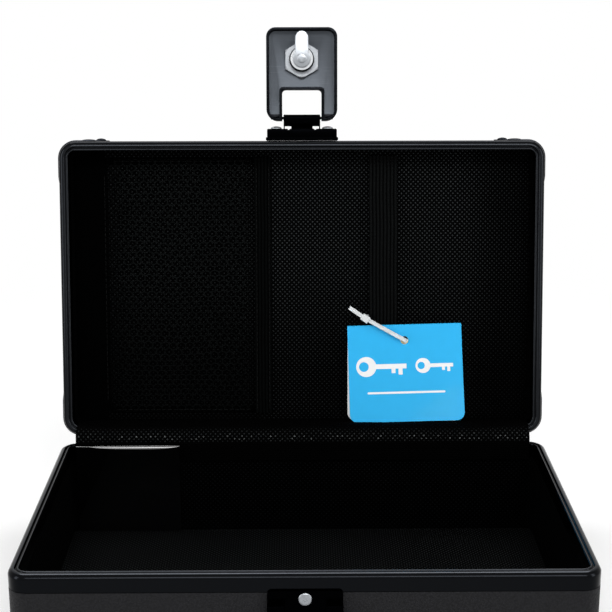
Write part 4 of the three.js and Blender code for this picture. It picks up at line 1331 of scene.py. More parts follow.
    def wall_lining(self) -> Shape:
        """The fabric on the inside of the walls, with a rolled lower edge.

        Returns:
            The fabric.
        """
        low, high = self.spot.box(f"{self.half}_wall_lining")
        outer = self.half_x - high.x
        inner = outer + self.lining_sheet
        near, far = span(self.depth(low.z), self.depth(high.z))
        roll = arc((inner, far - 0.5), (0.25, 0.5), 90, 0, 4)
        return self.swept([(outer, near), (outer, far), *roll, (inner, near)], True)

    def floor_lining(self) -> Shape:
        """The fabric on the floor: a padded panel whose edges turn down, gently uneven.

        Returns:
            The fabric.
        """
        low, high = self.spot.box(f"{self.half}_floor_lining")
        near, far = (low.z, high.z) if self.sign > 0 else (high.z, low.z)
        steps_x, steps_y = self.lining_steps
        flat = [(x, y) for y in even(low.y, high.y, steps_y) for x in even(low.x, high.x, steps_x)]
        face = []
        for x, y in flat:
            edge = min(x - low.x, high.x - x, y - low.y, high.y - y)
            sunk = 0.45 * max(0.0, 1 - edge / 2.4) ** 2
            sunk += 0.1 * (ripple(x * 0.05, y * 0.05, self.face_z) + 0.6)
            face.append(Vector((x, y, near + self.sign * sunk)))
        return Shape.quilt(face, [Vector((x, y, far)) for x, y in flat], flat, steps_x + 1)

    def build(self) -> None:
        """Makes the half's board, rim, linings and four caps."""
        name = self.half
        self.piece(f"{name}_board", self.shell(), BOARD, [f"{name}_shell"], 30)
        facing = self.spot.way(0, 0, -self.sign)
        level = (self.spot.matrix @ Vector((0, 0, self.face_z))).dot(facing)
        # the rim's finish paints a highlight on the crests of its ridges
        paint = PaintedHighlightRim(f"{name}_rim_paint", "rim", RIM_BLACK, self.crest, tuple(facing), level)
        self.piece(f"{name}_rolled_rim", self.rim(), paint, [f"{name}_rim"], 50)
        # the walls take the dark copy of the weave, painted shade
        walls = self.piece(f"{name}_wall_cloth", self.wall_lining(), SHADED_WEAVE, [f"{name}_wall_lining"])
        floor = self.piece(f"{name}_floor_cloth", self.floor_lining(), self.lining, [f"{name}_floor_lining"])
        size = self.spot.size(f"{name}_floor_lining")
        size = self.spot.size(f"{name}_wall_lining")
        cap = self.cap()
        for end, y in (("front", -1), ("rear", 1)):
            for side, x in (("left", -1), ("right", 1)):
                node = f"{name}_cap_{end}_{side}"
                self.piece(f"{name}_corner_{end}_{side}", cap.mirrored(x, y), CAP, [node], 40)


@dataclass
class Hinges(Assembly):
    """The two butt hinges on the rear wall, and the cloth that covers them inside."""

    sheet: float = 0.8
    barrel_radius: float = 1.7
    barrel_gap: float = 0.18
    notch: float = 0.35
    pin_radius: float = 0.8
    bore: float = 0.92
    cloth_thickness: float = 0.6
    cloth_spare: float = 1.2
    cloth_steps: int = 130
    straight: int = 6
    roll_points: int = 23
    bulge: float = 5.0

    def leaf(self, node: str, spot: Spot, up: int) -> Shape:
        """One leaf: its sheet, and the barrels that it rolls round the pin.

        Args:
            node: The frame's node.
            spot: The frame that the node is square in.
            up: 1 for a leaf above the pin, -1 for one below it.

        Returns:
            The leaf.
        """
        low, high = spot.box(node)
        sheet_y = (low.y, low.y + self.sheet)
        notch = HINGE_PIN.z + (self.barrel_radius + self.notch) * up
        tip, corners = (high.z, (0.2, 2.0)) if up > 0 else (low.z, (2.0, 0.2))
        outline = rounded((low.x, high.x), span(notch, tip), *corners)
        third, gap = (high.x - low.x) / 3, self.barrel_gap
        spans = [(low.x, low.x + third - gap), (high.x - third + gap, high.x)]
        if up > 0:
            spans = [(low.x + third + gap, high.x - third - gap)]
        parts = [Shape.slab(outline, Axis.Y, *sheet_y).bevelled(0.15)]
        for reach in spans:
            parts.append(rod(reach, HINGE_PIN, self.barrel_radius, 0.2, 32, self.bore))
            parts.append(Shape.block(reach, sheet_y, span(HINGE_PIN.z + up, notch + 0.4 * up)).bevelled(0.1))
        return Shape.all_of(parts)

    def cover_route(self) -> list[Vector]:
        """The cloth's route over the hinges: up inside the base, over in a soft roll, and into the lid.

        Returns:
            Its points.
        """
        low = HOME.box("hinge_cover")[0]
        y = low.y + self.cloth_thickness / 2
        start = Vector((0, y, HINGE_PIN.z + GAP))
        lid_point = CLOSED.matrix @ Vector((0, y, LID_FACE_Z))
        lid_end = CLOSED.matrix @ Vector((0, y, LID_FACE_Z + HINGE_PIN.z - low.z))
        first = start + Vector((0, 0, self.bulge))
        second = lid_point - (lid_end - lid_point).normalized() * self.bulge
        straight = self.straight
        return [
            *(Vector((0, y, z)) for z in even(low.z, start.z, straight)[:-1]),
            *interpolate_bezier(start, first, second, lid_point, self.roll_points),
            *(lid_point.lerp(lid_end, i / straight) for i in range(1, straight + 1)),
        ]

    def cover(self, route: Sequence[Vector], half: float) -> Shape:
        """The strip of cloth, thin and a little slack along its length.

        Args:
            route: The points that it goes over.
            half: Half its width.

        Returns:
            The cloth.
        """
        along = lengths(route)
        flat: list[Pair] = []
        faces: tuple[list[Vector], list[Vector]] = ([], [])
        for x in even(-half, half, self.cloth_steps):
            for point, way, length in zip(route, ways(route), along):
                slack = max(0.0, 1 - ((length - along[-1] / 2) / 5.5) ** 2)
                wave = ripple(x * 0.06, length * 0.12, 3.0)
                wave += 0.5 * ripple(x * 0.21, length * 0.2, 7.0)
                flat.append((x, length))
                for side, face in zip((1, -1), faces):
                    lift = side * self.cloth_thickness / 2 + 0.75 * slack * wave
                    face.append(Vector((x, point.y, point.z)) + Vector((0, -way.z, way.y)) * lift)
        return Shape.quilt(*faces, flat, len(route))

    def build(self) -> None:
        """Makes both hinges' leaves, pins and rivets, and the cover."""
        for side in ("left", "right"):
            for half, spot, up in (("base", HOME, -1), ("lid", CLOSED, 1)):
                self.body = half
                node = f"hinge_{half}_leaf_{side}"
                self.piece(f"hinge_{half}_{side}", self.leaf(node, spot, up), STEEL, [node], 40, spot)
                for i in (1, 2):
                    node = f"hinge_{half}_rivet_{side}_{i}"
                    self.wall_rivet(f"hinge_{half}_{side}_rivet_{i}", node, 1, spot=spot)
            self.body = "base"
            low, high = HOME.box(f"hinge_pin_{side}")
            pin = rod((low.x, high.x), HINGE_PIN, self.pin_radius, 0.2, 24)
            self.piece(f"hinge_{side}_pin", pin, STEEL, [f"hinge_pin_{side}"], 40)
        route = self.cover_route()
        half = HOME.box("hinge_cover")[1].x + self.cloth_spare
        cloth = self.cover(route, half)
        cover = self.piece("hinge_cloth", cloth, HINGE_WEAVE, ["hinge_cover"], 60, rides=False)
        start, end = route[self.straight], route[-self.straight - 1]
        tuple(start * MM)
        tuple(end * MM)
        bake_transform(cover)
        flat = (2 * half * MM, lengths(route)[-1] * MM)


@dataclass
class LatchPlate(Assembly):
    """The plate on the lid's front wall that carries the hasp's pin on a knuckle."""

    foot_out: float = 1.3
    body_height: float = 11.0
    margin: float = 0.5
    centre_width: float = 10.8
    slot: float = 0.5
    slot_depth: float = 0.4
    slot_back: float = 0.9
    sunk: float = 0.2
    knuckle_radius: float = 1.5
    knuckle_reach: float = 3.5
    neck_width: float = 9.2
    neck_spread: float = 3.3
    cheek: float = 0.5
    pin_short: float = 1.7

    def plate(self) -> Shape:
        """The foot, and on it a centre block and two side blocks with narrow splits between them.

        Returns:
            The plate.
        """
        low, high = self.spot.box("latch_plate")
        middle = (low.z + high.z) / 2
        outline = rounded((low.x, high.x), (low.z, high.z), 1.0)
        foot = Shape.slab(outline, Axis.Y, high.y - self.foot_out, high.y)
        half, back = self.centre_width / 2, high.y - self.sunk
        up = (middle - self.body_height / 2, middle + self.body_height / 2)
        blocks = [Shape.block((-half, half), (low.y, back), up).bevelled(0.35, 3)]
        for side in (-1, 1):
            reach = span(side * (half + self.slot), side * (high.x - self.margin))
            blocks.append(Shape.block(reach, (low.y, back), up).bevelled(0.6, 4))
        web_x = half + self.slot + 1
        web_z = (up[0] + self.slot_back, up[1] - self.slot_back)
        web = Shape.block((-web_x, web_x), (low.y + self.slot_depth, back), web_z)
        return Shape.all_of([foot.bevelled(0.3, 3), *blocks, web])

    def knuckle(self) -> Shape:
        """The bar that the hasp's pin runs through, on a narrower neck.

        Returns:
            The knuckle.
        """
        low, high = self.spot.box("latch_knuckle")
        pin, radius = HASP_PIN, self.knuckle_radius
        reach = pin.y + self.knuckle_reach
        nose = arc((pin.y, pin.z), radius, 270, 90, 14)
        section = [*nose, (reach, pin.z + radius), (reach, pin.z - radius)]
        bar = Shape.slab(section, Axis.X, low.x, high.x).bevelled(0.25, 3, 50)
        plate_out = self.spot.box("latch_plate")[0].y
        foot = radius + self.neck_spread
        flare = [(reach - 1.2, -radius), (plate_out + 0.05, -foot), (high.y, -foot)]
        flare += [(y, -z) for y, z in reversed(flare)]
        half = self.neck_width / 2
        neck = Shape.slab([(y, pin.z + z) for y, z in flare], Axis.X, -half, half)
        cheeks = [
            Shape.block(
                span(end, end * (1 - self.cheek / high.x)), (pin.y + 0.5, plate_out + 0.1),
                (pin.z - radius * 0.7, pin.z + radius * 0.7),
            )
            for end in (low.x, high.x)
        ]
        return Shape.all_of([bar, neck.bevelled(0.2), *cheeks])

    def build(self) -> None:
        """Makes the plate, its knuckle, rivets and pin."""
        self.piece("latch_block", self.plate(), LATCH, ["latch_plate"], 40)
        self.piece("latch_bar", self.knuckle(), LATCH, ["latch_knuckle"], 40)
        for side in ("left", "right"):
            self.wall_rivet(f"latch_head_{side}", f"latch_rivet_{side}", -1)
        low, high = self.spot.box("hasp_pin")
        axle = rod((low.x + self.pin_short, high.x - self.pin_short), HASP_PIN, 0.6, 0.15, 20)
        self.piece("hasp_axle", axle, replace(LATCH, slot="steel"), ["hasp_pin"], 40)


@dataclass
class Hasp(Assembly):
    """The pressed flap: two legs beside a window, over a panel with a lifting lip and a hole for the lock."""

    sheet: float = 1.2
    heel: float = 1.3
    heel_radius: float = 5.0
    tip_radius: float = 4.0
    window_width: float = 17.0
    window_length: float = 12.0
    window_radius: float = 1.6
    panel_out: float = 1.6
    lip_width: float = 16.0
    lip: float = 1.6
    lock_drop: float = 25.0
    hole_radius: float = 5.6
    step: float = 0.35
    step_length: float = 1.75

    def outline(self, inset: float) -> list[Pair]:
        """The flap's outline.

        Args:
            inset: How far it is moved in.

        Returns:
            Its points.
        """
        low, high = self.spot.box("hasp")
        half = high.x - inset
        window = self.window_width / 2 + inset
        heel, tip, sill = self.heel - inset, low.z + inset, -self.window_length - inset
        heel_r, tip_r, notch = self.heel_radius - inset, self.tip_radius - inset, self.window_radius
        return [
            *arc((-half + tip_r, tip + tip_r), tip_r, 180, 270, 10),
            *arc((half - tip_r, tip + tip_r), tip_r, 270, 360, 10),
            *arc((half - heel_r, heel - heel_r), heel_r, 0, 90, 10),
            (window, heel),
            *arc((window - notch, sill + notch), notch, 0, -90, 5),
            *arc((-window + notch, sill + notch), notch, -90, -180, 5),
            (-window, heel),
            *arc((-half + heel_r, heel - heel_r), heel_r, 90, 180, 10),
        ]

    def flap(self) -> Shape:
        """The flap: a tray with a turned-in flange all round, and the lip along its free edge.

        Returns:
            The flap.
        """
        low, high = self.spot.box("hasp")
        outer = -self.panel_out - self.sheet
        tray = Shape.slab(self.outline(0), Axis.Y, outer, high.y)
        hollow = Shape.slab(self.outline(self.sheet), Axis.Y, -self.panel_out, high.y + 1)
        hole = Shape.turned([(self.hole_radius, 0), (self.hole_radius, self.sheet + 2)], 48)
        hole = hole.at((0, outer - 1, -self.lock_drop), -90)
        inner, front, half = outer + self.sheet / 2, outer - self.lip, self.lip_width / 2
        section = [
            (inner, 0), (front + 0.5, 0), (front, 0.3), (front, 0.8), (outer - self.lip * 0.6, 1.5),
            (outer, self.lip * 2), (inner, self.lip * 2),
        ]
        lip = Shape.slab([(y, low.z + z) for y, z in section], Axis.X, -half, half)
        return tray.combined(Join.ADD, lip).combined(Join.CUT, hollow, hole).bevelled(0.28, 3, 35)

    def heels(self) -> Shape:
        """The raised steps at the feet of the two legs, beside the pin.

        Returns:
            The steps.
        """
        half = self.spot.box("hasp")[1].x
        floor = -self.panel_out
        steps = Shape.slab(self.outline(self.sheet - 0.05), Axis.Y, floor - 0.1, floor + self.step)
        band = Shape.block((-half, half), (floor - 1, floor + 1), (-self.step_length, self.heel))
        return steps.combined(Join.COMMON, band).bevelled(0.1, 2, 35)

    def build(self) -> None:
        """Makes the flap, with a paler metal colour on the inside of its panel as a painted reflection."""
        flap = self.piece("hasp_flap", self.flap(), FLAP_OUTER, ["hasp"], 30)
        # painted reflection on the inside of the panel
        flap.data.materials.append(LATCH_PAINTED_REFLECTION.material())
        back = self.spot.matrix.inverted()
        inward = self.spot.way(0, 1, 0)
        for polygon in flap.data.polygons:
            if polygon.normal.dot(inward) > 0.9 and (back @ (polygon.center / MM)).y < 0:
                polygon.material_index = 1
        # the heels take a dimmer painted reflection
        self.piece("hasp_heels", self.heels(), LATCH_HEEL)


@dataclass
class CamLock(Assembly):
    """The cam lock in the hasp: barrel, nut, and the plug with its cam and screw."""

    drop: float = 25.0
    barrel_radius: float = 5.3
    head_radius: float = 6.6
    head: float = 1.4
    plug_radius: float = 3.3
    plug_play: float = 0.15
    keyway_width: float = 1.3
    keyway_length: float = 4.8
    keyway_depth: float = 6.0
    thread_pitch: float = 0.8
    arm_half: float = 2.8
    screw_head: float = 0.5
    recess: Pair = (1.2, 0.22)
    sides: int = 56

    def along(self, shape: Shape) -> Shape:
        """A shape made along +Z, laid along the lock's axis, from outside to inside."""
        return shape.at((0, 0, -self.drop), -90)

    def barrel(self) -> Shape:
        """The barrel: a turned flange with a bevelled edge, and a threaded body.

        Returns:
            The barrel.
        """
        low, high = self.spot.box("lock_barrel")
        seat, bore = self.head, self.plug_radius + self.plug_play
        head, body = self.head_radius, self.barrel_radius
        profile = [
            (bore, 0.3), (bore + 0.3, 0.0), (bore + 0.9, 0.0), (bore + 1.1, 0.2), (head - 1.0, 0.2),
            (head - 0.3, 0.45), (head, 0.8), (head, seat - 0.15), (head - 0.15, seat), (body - 0.2, seat),
        ]
        end = high.y - low.y
        while seat + self.thread_pitch < end - 0.3:
            profile += [(body - 0.32, seat + 0.1), (body, seat + self.thread_pitch / 2)]
            seat += self.thread_pitch
        profile += [(body - 0.3, seat), (body - 0.5, end), (bore, end)]
        return self.along(Shape.turned([(radius, low.y + y) for radius, y in profile], self.sides, True))

    def nut(self) -> Shape:
        """A thin hexagon nut with chamfered corners.

        Returns:
            The nut.
        """
        low, high = self.spot.box("lock_nut")
        radius, hole_radius = (high.z - low.z) / 2, self.barrel_radius + 0.05
        wide, narrow = radius + 0.05, radius * 0.93 - 0.2
        body = Shape.slab(arc((0, 0), radius, 30, 330, 5), Axis.Z, low.y, high.y)
        profile = [(narrow, low.y - 0.01), (wide, low.y + 0.5), (wide, high.y - 0.5), (narrow, high.y + 0.01)]
        limit = Shape.turned(profile, self.sides)
        hole = Shape.turned([(hole_radius, low.y - 1), (hole_radius, high.y + 1)], self.sides)
        return self.along(body.combined(Join.COMMON, limit).combined(Join.CUT, hole))

    def plug(self) -> Shape:
        """The plug with its keyway: a slot with a side ward.

        Returns:
            The plug.
        """
        low, high = self.spot.box("lock_plug")
        radius = self.plug_radius
        front = [(0, low.y), (radius - 0.35, low.y), (radius, low.y + 0.3)]
        body = Shape.turned([*front, (radius, high.y - 0.2), (radius - 0.2, high.y), (0, high.y)], self.sides)
        half, long = self.keyway_width / 2, self.keyway_length / 2
        depth = (low.y - 1, low.y + self.keyway_depth)
        slot = Shape.slab(rounded((-half, half), (-long, long), 0.3, steps=3), Axis.Z, *depth)
        ward = Shape.block((-half - 0.5, 0), (-long * 0.2, long * 0.25), depth)
        return self.along(body.combined(Join.CUT, slot, ward))

    def cam(self) -> Shape:
        """The cam: a stamped arm with a round hub.

        Returns:
            The cam.
        """
        low, high = self.spot.box("lock_cam")
        half, hub = self.arm_half, (high.x - low.x) / 2
        spread = math.degrees(math.asin(half / hub))
        outline = [
            *arc((0, low.z + half), half, 180, 360, 12),
            *arc((0, -self.drop), hub, -90 + spread, 270 - spread, 28),
        ]
        return Shape.slab(outline, Axis.Y, low.y, high.y).bevelled(0.22, 3)

    def screw(self) -> Shape:
        """The screw that holds the cam: a pan head with a cross recess.

        Returns:
            The screw.
        """
        low, high = self.spot.box("cam_screw")
        radius, seat = (high.x - low.x) / 2, high.y - self.screw_head
        dome = arc((0, seat + 0.2), (radius, 0.3), 0, 84, 6)
        shank = [(0, seat - 0.6), (1.0, seat - 0.6), (1.0, seat)]
        body = Shape.turned([*shank, (radius, seat), (radius, seat + 0.2), *dome, (0, high.y)])
        long, narrow = ((-half, half) for half in self.recess)
        depth = (high.y - 0.35, high.y + 1)
        bars = [Shape.block(x, y, depth) for x, y in ((long, narrow), (narrow, long))]
        return self.along(body.combined(Join.CUT, *bars))

    def build(self) -> None:
        """Makes the lock's pieces, on the hasp and on the plug's own body."""
        self.piece("lock_body", self.barrel(), CHROME, ["lock_barrel"], 30)
        self.piece("lock_hex_nut", self.nut(), STEEL, ["lock_nut"], 30)
        self.body = "plug"
        self.piece("lock_core", self.plug(), CHROME, ["lock_plug"], 30)
        self.piece("lock_arm", self.cam(), STEEL, ["lock_cam"], 30)
        self.piece("lock_screw", self.screw(), STEEL, ["cam_screw"], 30)


@dataclass
class StrikePlate(Assembly):
    """The plate on the base's front wall, with two bent tabs that the turned cam goes behind."""

    sheet: float = 0.8
    tab: float = 1.0
    tab_reach: float = 6.1
    tab_half: float = 5.0
    rivet_height: float = 0.6

    def plate(self) -> Shape:
        """The plate with its tabs.

        Returns:
            The plate.
        """
        low, high = self.spot.box("strike_plate")
        made = Shape.slab(rounded((low.x, high.x), (low.z, high.z), 1.5), Axis.Y, high.y - self.sheet, high.y)
        middle = (low.z + high.z) / 2
        up = (middle - self.tab_half, middle + self.tab_half)
        for side in (-1, 1):
            outer = side * high.x
            wall, lip = (span(side * (high.x - reach), outer) for reach in (self.sheet, self.tab_reach))
            made = made.combined(
                Join.ADD,
                Shape.block(wall, (low.y, high.y - self.sheet / 2), up),
                Shape.block(lip, (low.y, low.y + self.tab), up),
            )
        return made.bevelled(0.22, 3)

    def build(self) -> None:
        """Makes the plate and its two rivets."""
        self.piece("strike_catch", self.plate(), LATCH, ["strike_plate"], 30)
        for place in ("upper", "lower"):
            self.wall_rivet(f"strike_head_{place}", f"strike_rivet_{place}", -1, self.rivet_height)


def ribbed_band(
    low: Vector, high: Vector, thickness: float, ribs: int, pucker: float, rise: float = 0.0,
) -> Shape:
    """A flat elastic band along Y, with ribs along it.

    Args:
        low: The lowest corner of its place.
        high: The highest corner of its place.
        thickness: Its thickness over a rib.
        ribs: How many ribs it has.
        pucker: How uneven it is.
        rise: How far its middle stands up.

    Returns:
        The band.
    """
    per_rib = 6
    steps = int((high.y - low.y) / 1.5)
    width = (high.x - low.x) / ribs
    half = (high.y - low.y) / 2
    outline = []
    for i in range(ribs * per_rib + 1):
        crown = abs(math.sin(math.pi * (i / per_rib))) ** 0.6
        outline.append((low.x + width * (i / per_rib), thickness * (0.62 + 0.38 * crown)))
    edge = thickness * 0.25
    outline += [(high.x, edge), (high.x - 0.2, 0.0), (low.x + 0.2, 0.0), (low.x, edge)]
    rings = []
    for along in even(low.y, high.y, steps):
        back = low.z + rise * (1 - min(abs(along) / half, 1.0) ** 2)
        shift = 0.25 * ripple(along * 0.06, 5.0, 1.0)
        ring = []
        for a, h in outline:
            wave = ripple(a * 0.3, along * 0.16, 2.0)
            ring.append(Vector((a + shift, along, back + h + pucker * wave * h / thickness)))
        rings.append(ring)
    made = Shape.rings(rings)
    across = [a - low.x for a, _ in outline] * len(rings)
    made.cloth = [tuple((across[i], made.points[i].y) for i in face) for face in made.faces]
    return made


def stitch_row(
    start: Vector, end: Vector, stitch: float = 1.7, step: float = 2.5, radius: float = 0.16,
) -> Shape:
    """A row of short threads from one point to another.

    Args:
        start: Where the row starts.
        end: Where it ends.
        stitch: A thread's length.
        step: From one thread to the next.
        radius: A thread's radius.

    Returns:
        The threads.
    """
    way = (end - start).normalized()
    dip = Vector((0, 0, radius * 1.4))
    thread = [-dip, way * stitch * 0.25, way * stitch * 0.75, way * stitch - dip]
    return Shape.all_of(
        Shape.tube([start + way * (i * step) + place for place in thread], circle(radius, 6), way.cross(dip))
        for i in range(int((end - start).length / step))
    )


@dataclass
class MeshPocket(Assembly):
    """The net on the left of the lid, with a hem on three sides and a ribbed binding on the fourth."""

    pitch: float = 3.5
    squash: float = 0.8
    strand: float = 0.42
    thickness: float = 0.14
    round_hole: float = 0.92
    hem: float = 3.0
    hem_radius: float = 3.0
    tape: Pair = (-100.0, -86.6)
    tape_end: float = 59.4
    binding_ribs: int = 5
    binding_thickness: float = 1.1
    off_floor: float = 0.05
    bulge: float = 1.6
    waves: float = 0.9
    drift: float = 1.7
    quiver: float = 0.3

    def __post_init__(self) -> None:
        """Reads the extents of the net and the binding from the frame."""
        self.low, self.high = self.spot.box("mesh_pocket")
        self.band_low, self.band_high = self.spot.box("pocket_binding")

    def pulled(self, x: float, y: float, lift: float = 0.0) -> Vector:
        """Where a point of the even net goes when its rows are pulled a little askew and it stands off.

        Args:
            x: The point's place across the net.
            y: Its place along the net.
            lift: How far it is raised.

        Returns:
            The point.
        """
        low, high = self.low, self.high
        edge = min(x - low.x, high.x - x, y - low.y, high.y - y)
        held = min(1.0, max(0.0, edge) / 9)
        shift = [
            held * (self.drift * ripple(x * 0.045, y * 0.045, seed)
                    + self.quiver * ripple(x * 0.24, y * 0.24, seed + 1))
            for seed in (11.0, 17.0)
        ]
        wave = ripple(x * 0.035, y * 0.05, 1.0)
        wave += 0.5 * ripple(x * 0.09, y * 0.12, 4.0)
        lower = 1.25 - 0.5 * (y - low.y) / (high.y - low.y)
        off_floor = 0.1 + min(edge / 12, 1.0) * lower * (self.bulge + self.waves * wave)
        return Vector((x + shift[0], y + shift[1], low.z + off_floor + lift))

    def net(self) -> tuple[Shape, float]:
        """The net of hexagons.

        Returns:
            The net, and the area of its cloth in square millimetres.
        """
        low, high = self.low, self.high
        radius = self.pitch / math.sqrt(3)
        inner = radius * (1 - self.strand / self.pitch)
        flat = math.cos(math.pi / 6)
        row_step = radius * 1.5 * self.squash
        rows = int((high.y - low.y - 2 * radius * self.squash) / row_step)
        columns = int((high.x - low.x - self.pitch / 2) / self.pitch)
        first_x = (low.x + high.x) / 2 - (columns - 0.5) * self.pitch / 2
        first_y = (low.y + high.y) / 2 - rows * row_step / 2
        area = 0.0
        shared: dict[Pair, bmesh.types.BMVert] = {}
        mesh = bpy.data.meshes.new("net")
        with edited(mesh) as edit:
            for row, column in product(range(rows + 1), range(columns)):
                x, y = first_x + (column + 0.5 * (row % 2)) * self.pitch, first_y + row * row_step
                outer_ring, inner_ring = [], []
                for i in range(12):
                    angle = math.pi * (i + 1) / 6
                    way = (math.cos(angle), math.sin(angle))
                    reach = radius * (flat if i % 2 else 1.0)
                    px, py = x + reach * way[0], y + reach * way[1] * self.squash
                    key = (round(px, 1), round(py, 1))
                    if key not in shared:
                        shared[key] = edit.verts.new(self.pulled(px, py))
                    outer_ring.append(shared[key])
                    reach = inner * (flat if i % 2 else self.round_hole)
                    point = self.pulled(x + reach * way[0], y + reach * way[1] * self.squash, 0.06)
                    inner_ring.append(edit.verts.new(point))
                for i in range(12):
                    j = (i + 1) % 12
                    face = edit.faces.new((outer_ring[i], outer_ring[j], inner_ring[j], inner_ring[i]))
                    area += face.calc_area()
            bmesh.ops.recalc_face_normals(edit, faces=edit.faces)
            bmesh.ops.solidify(edit, geom=edit.faces[:], thickness=self.thickness)
        made = Shape.of(mesh)
        made.cloth = [tuple((made.points[i].x, made.points[i].y) for i in face) for face in made.faces]
        return made, area

    def hem_shape(self) -> Shape:
        """The folded edge of the net on its top, left and bottom sides.

        Returns:
            The edge.
        """
        half, corner = self.hem / 2, self.hem_radius
        section = [(a, b + 0.45) for a, b in rounded((-half, half), (-0.4, 0.45), 0.3, steps=3)]
        x, bottom, top = self.low.x + half, self.low.y + half, self.high.y - half
        flat = [
            (self.high.x, top), (x + corner + 20, top),
            *arc((x + corner, top - corner), corner, 90, 180, 8),
            *arc((x + corner, bottom + corner), corner, 180, 270, 8),
            (x + corner + 20, bottom), (self.high.x, bottom),
        ]
        path = [Vector((a, b, self.low.z + self.off_floor)) for a, b in flat]
        return Shape.tube(path, section, Vector((0, 1, 0)))

    def side_tape(self) -> Shape:
        """The wide flat tape between the net and the lid's left wall, a little uneven.

        Returns:
            The tape.
        """
        left, right = self.tape
        top = [(x, 0.45) for x in even(right - 0.3, left + 0.3, 8)]
        rings = []
        for y in even(-self.tape_end, self.tape_end, 80):
            ring = [Vector((x, y, self.low.z + h)) for x, h in [(left, 0.0), (right, 0.0), (right, 0.3)]]
            for x, h in top:
                uneven = 0.2 * ripple(x * 0.12, y * 0.07, 9.0)
                ring.append(Vector((x, y, self.low.z + h + uneven)))
            rings.append([*ring, Vector((left, y, self.low.z + 0.3))])
        return Shape.rings(rings)

    def stitches(self) -> Shape:
        """Two rows of stitches that hold the binding, and one on each side of the hem.

        Returns:
            The threads.
        """
        low, high, inset = self.low, self.high, self.hem / 2
        band = (self.band_low.y + 2, self.band_high.y - 2)
        rows = [((x, band[0]), (x, band[1]), self.band_low.z + 1.3)
                for x in (self.band_low.x + 1.0, self.band_high.x - 1.0)]
        rows.append(((low.x + inset, low.y + 6), (low.x + inset, high.y - 6), low.z + 1.0))
        sides = (low.y + inset, high.y - inset)
        rows += [((low.x + inset + 4, y), (high.x - 1, y), low.z + 1.0) for y in sides]
        return Shape.all_of(stitch_row(Vector((*start, z)), Vector((*end, z))) for start, end, z in rows)

    def build(self) -> None:
        """Makes the net, its hem, the binding and their stitches."""
        shape, area = self.net()
        net = self.piece("pocket_mesh", shape, NET, ["mesh_pocket"], 60)
        hem = self.piece("pocket_hem", self.hem_shape() + self.side_tape(), HEM, smooth=50)
        lifted = self.band_low + Vector((0, 0, self.off_floor))
        binding = ribbed_band(lifted, self.band_high, self.binding_thickness, self.binding_ribs, 0.18)
        band = self.piece("pocket_elastic", binding, BINDING, ["pocket_binding"], 60)
        thread = self.piece("pocket_stitches", self.stitches(), THREAD, smooth=60)
        size = self.spot.size("mesh_pocket")
        max(area * MM * MM, 0.31 * size.x * size.y)
        size = self.spot.size("pocket_binding")


@dataclass
class ElasticStrap(Assembly):
    """The ribbed elastic strap on the right of the lid, bowed off its floor and sewn down at both ends."""

    ribs: int = 8
    thickness: float = 1.2
    rise: float = 2.2

    def build(self) -> None:
        """Makes the strap and the bars of stitches at its ends."""
        low, high = self.spot.box("elastic_strap")
        half = (high.y - low.y) / 2
        band = ribbed_band(low, high, self.thickness, self.ribs, 0.12, self.rise)
        strap = self.piece("strap_elastic", band, ELASTIC, ["elastic_strap"], 60)
        rows = []
        for y in (low.y + 2.0, low.y + 3.4, high.y - 2.0, high.y - 3.4):
            z = low.z + self.thickness + 0.06 + self.rise * (1 - (y / half) ** 2)
            rows.append(stitch_row(Vector((low.x + 0.5, y, z)), Vector((high.x - 0.5, y, z)), 0.9, 1.2, 0.15))
        thread = self.piece("strap_stitches", Shape.all_of(rows), THREAD, smooth=60)
        size = self.spot.size("elastic_strap")


def smooth_path(points: Sequence[Vector], steps: int) -> list[Vector]:
    """A smooth curve through points, with even steps between each two.

    Args:
        points: The points that it goes through.
        steps: How many steps it takes from one to the next.

    Returns:
        The curve's points.
    """
    made = []
    for before, start, end, after in zip([points[0], *points], points, points[1:], [*points[2:], points[-1]]):
        handles = (start + (end - before) / 6, end - (after - start) / 6)
        made += interpolate_bezier(start, *handles, end, steps + 1)[:-1]
    return [*made, points[-1]]


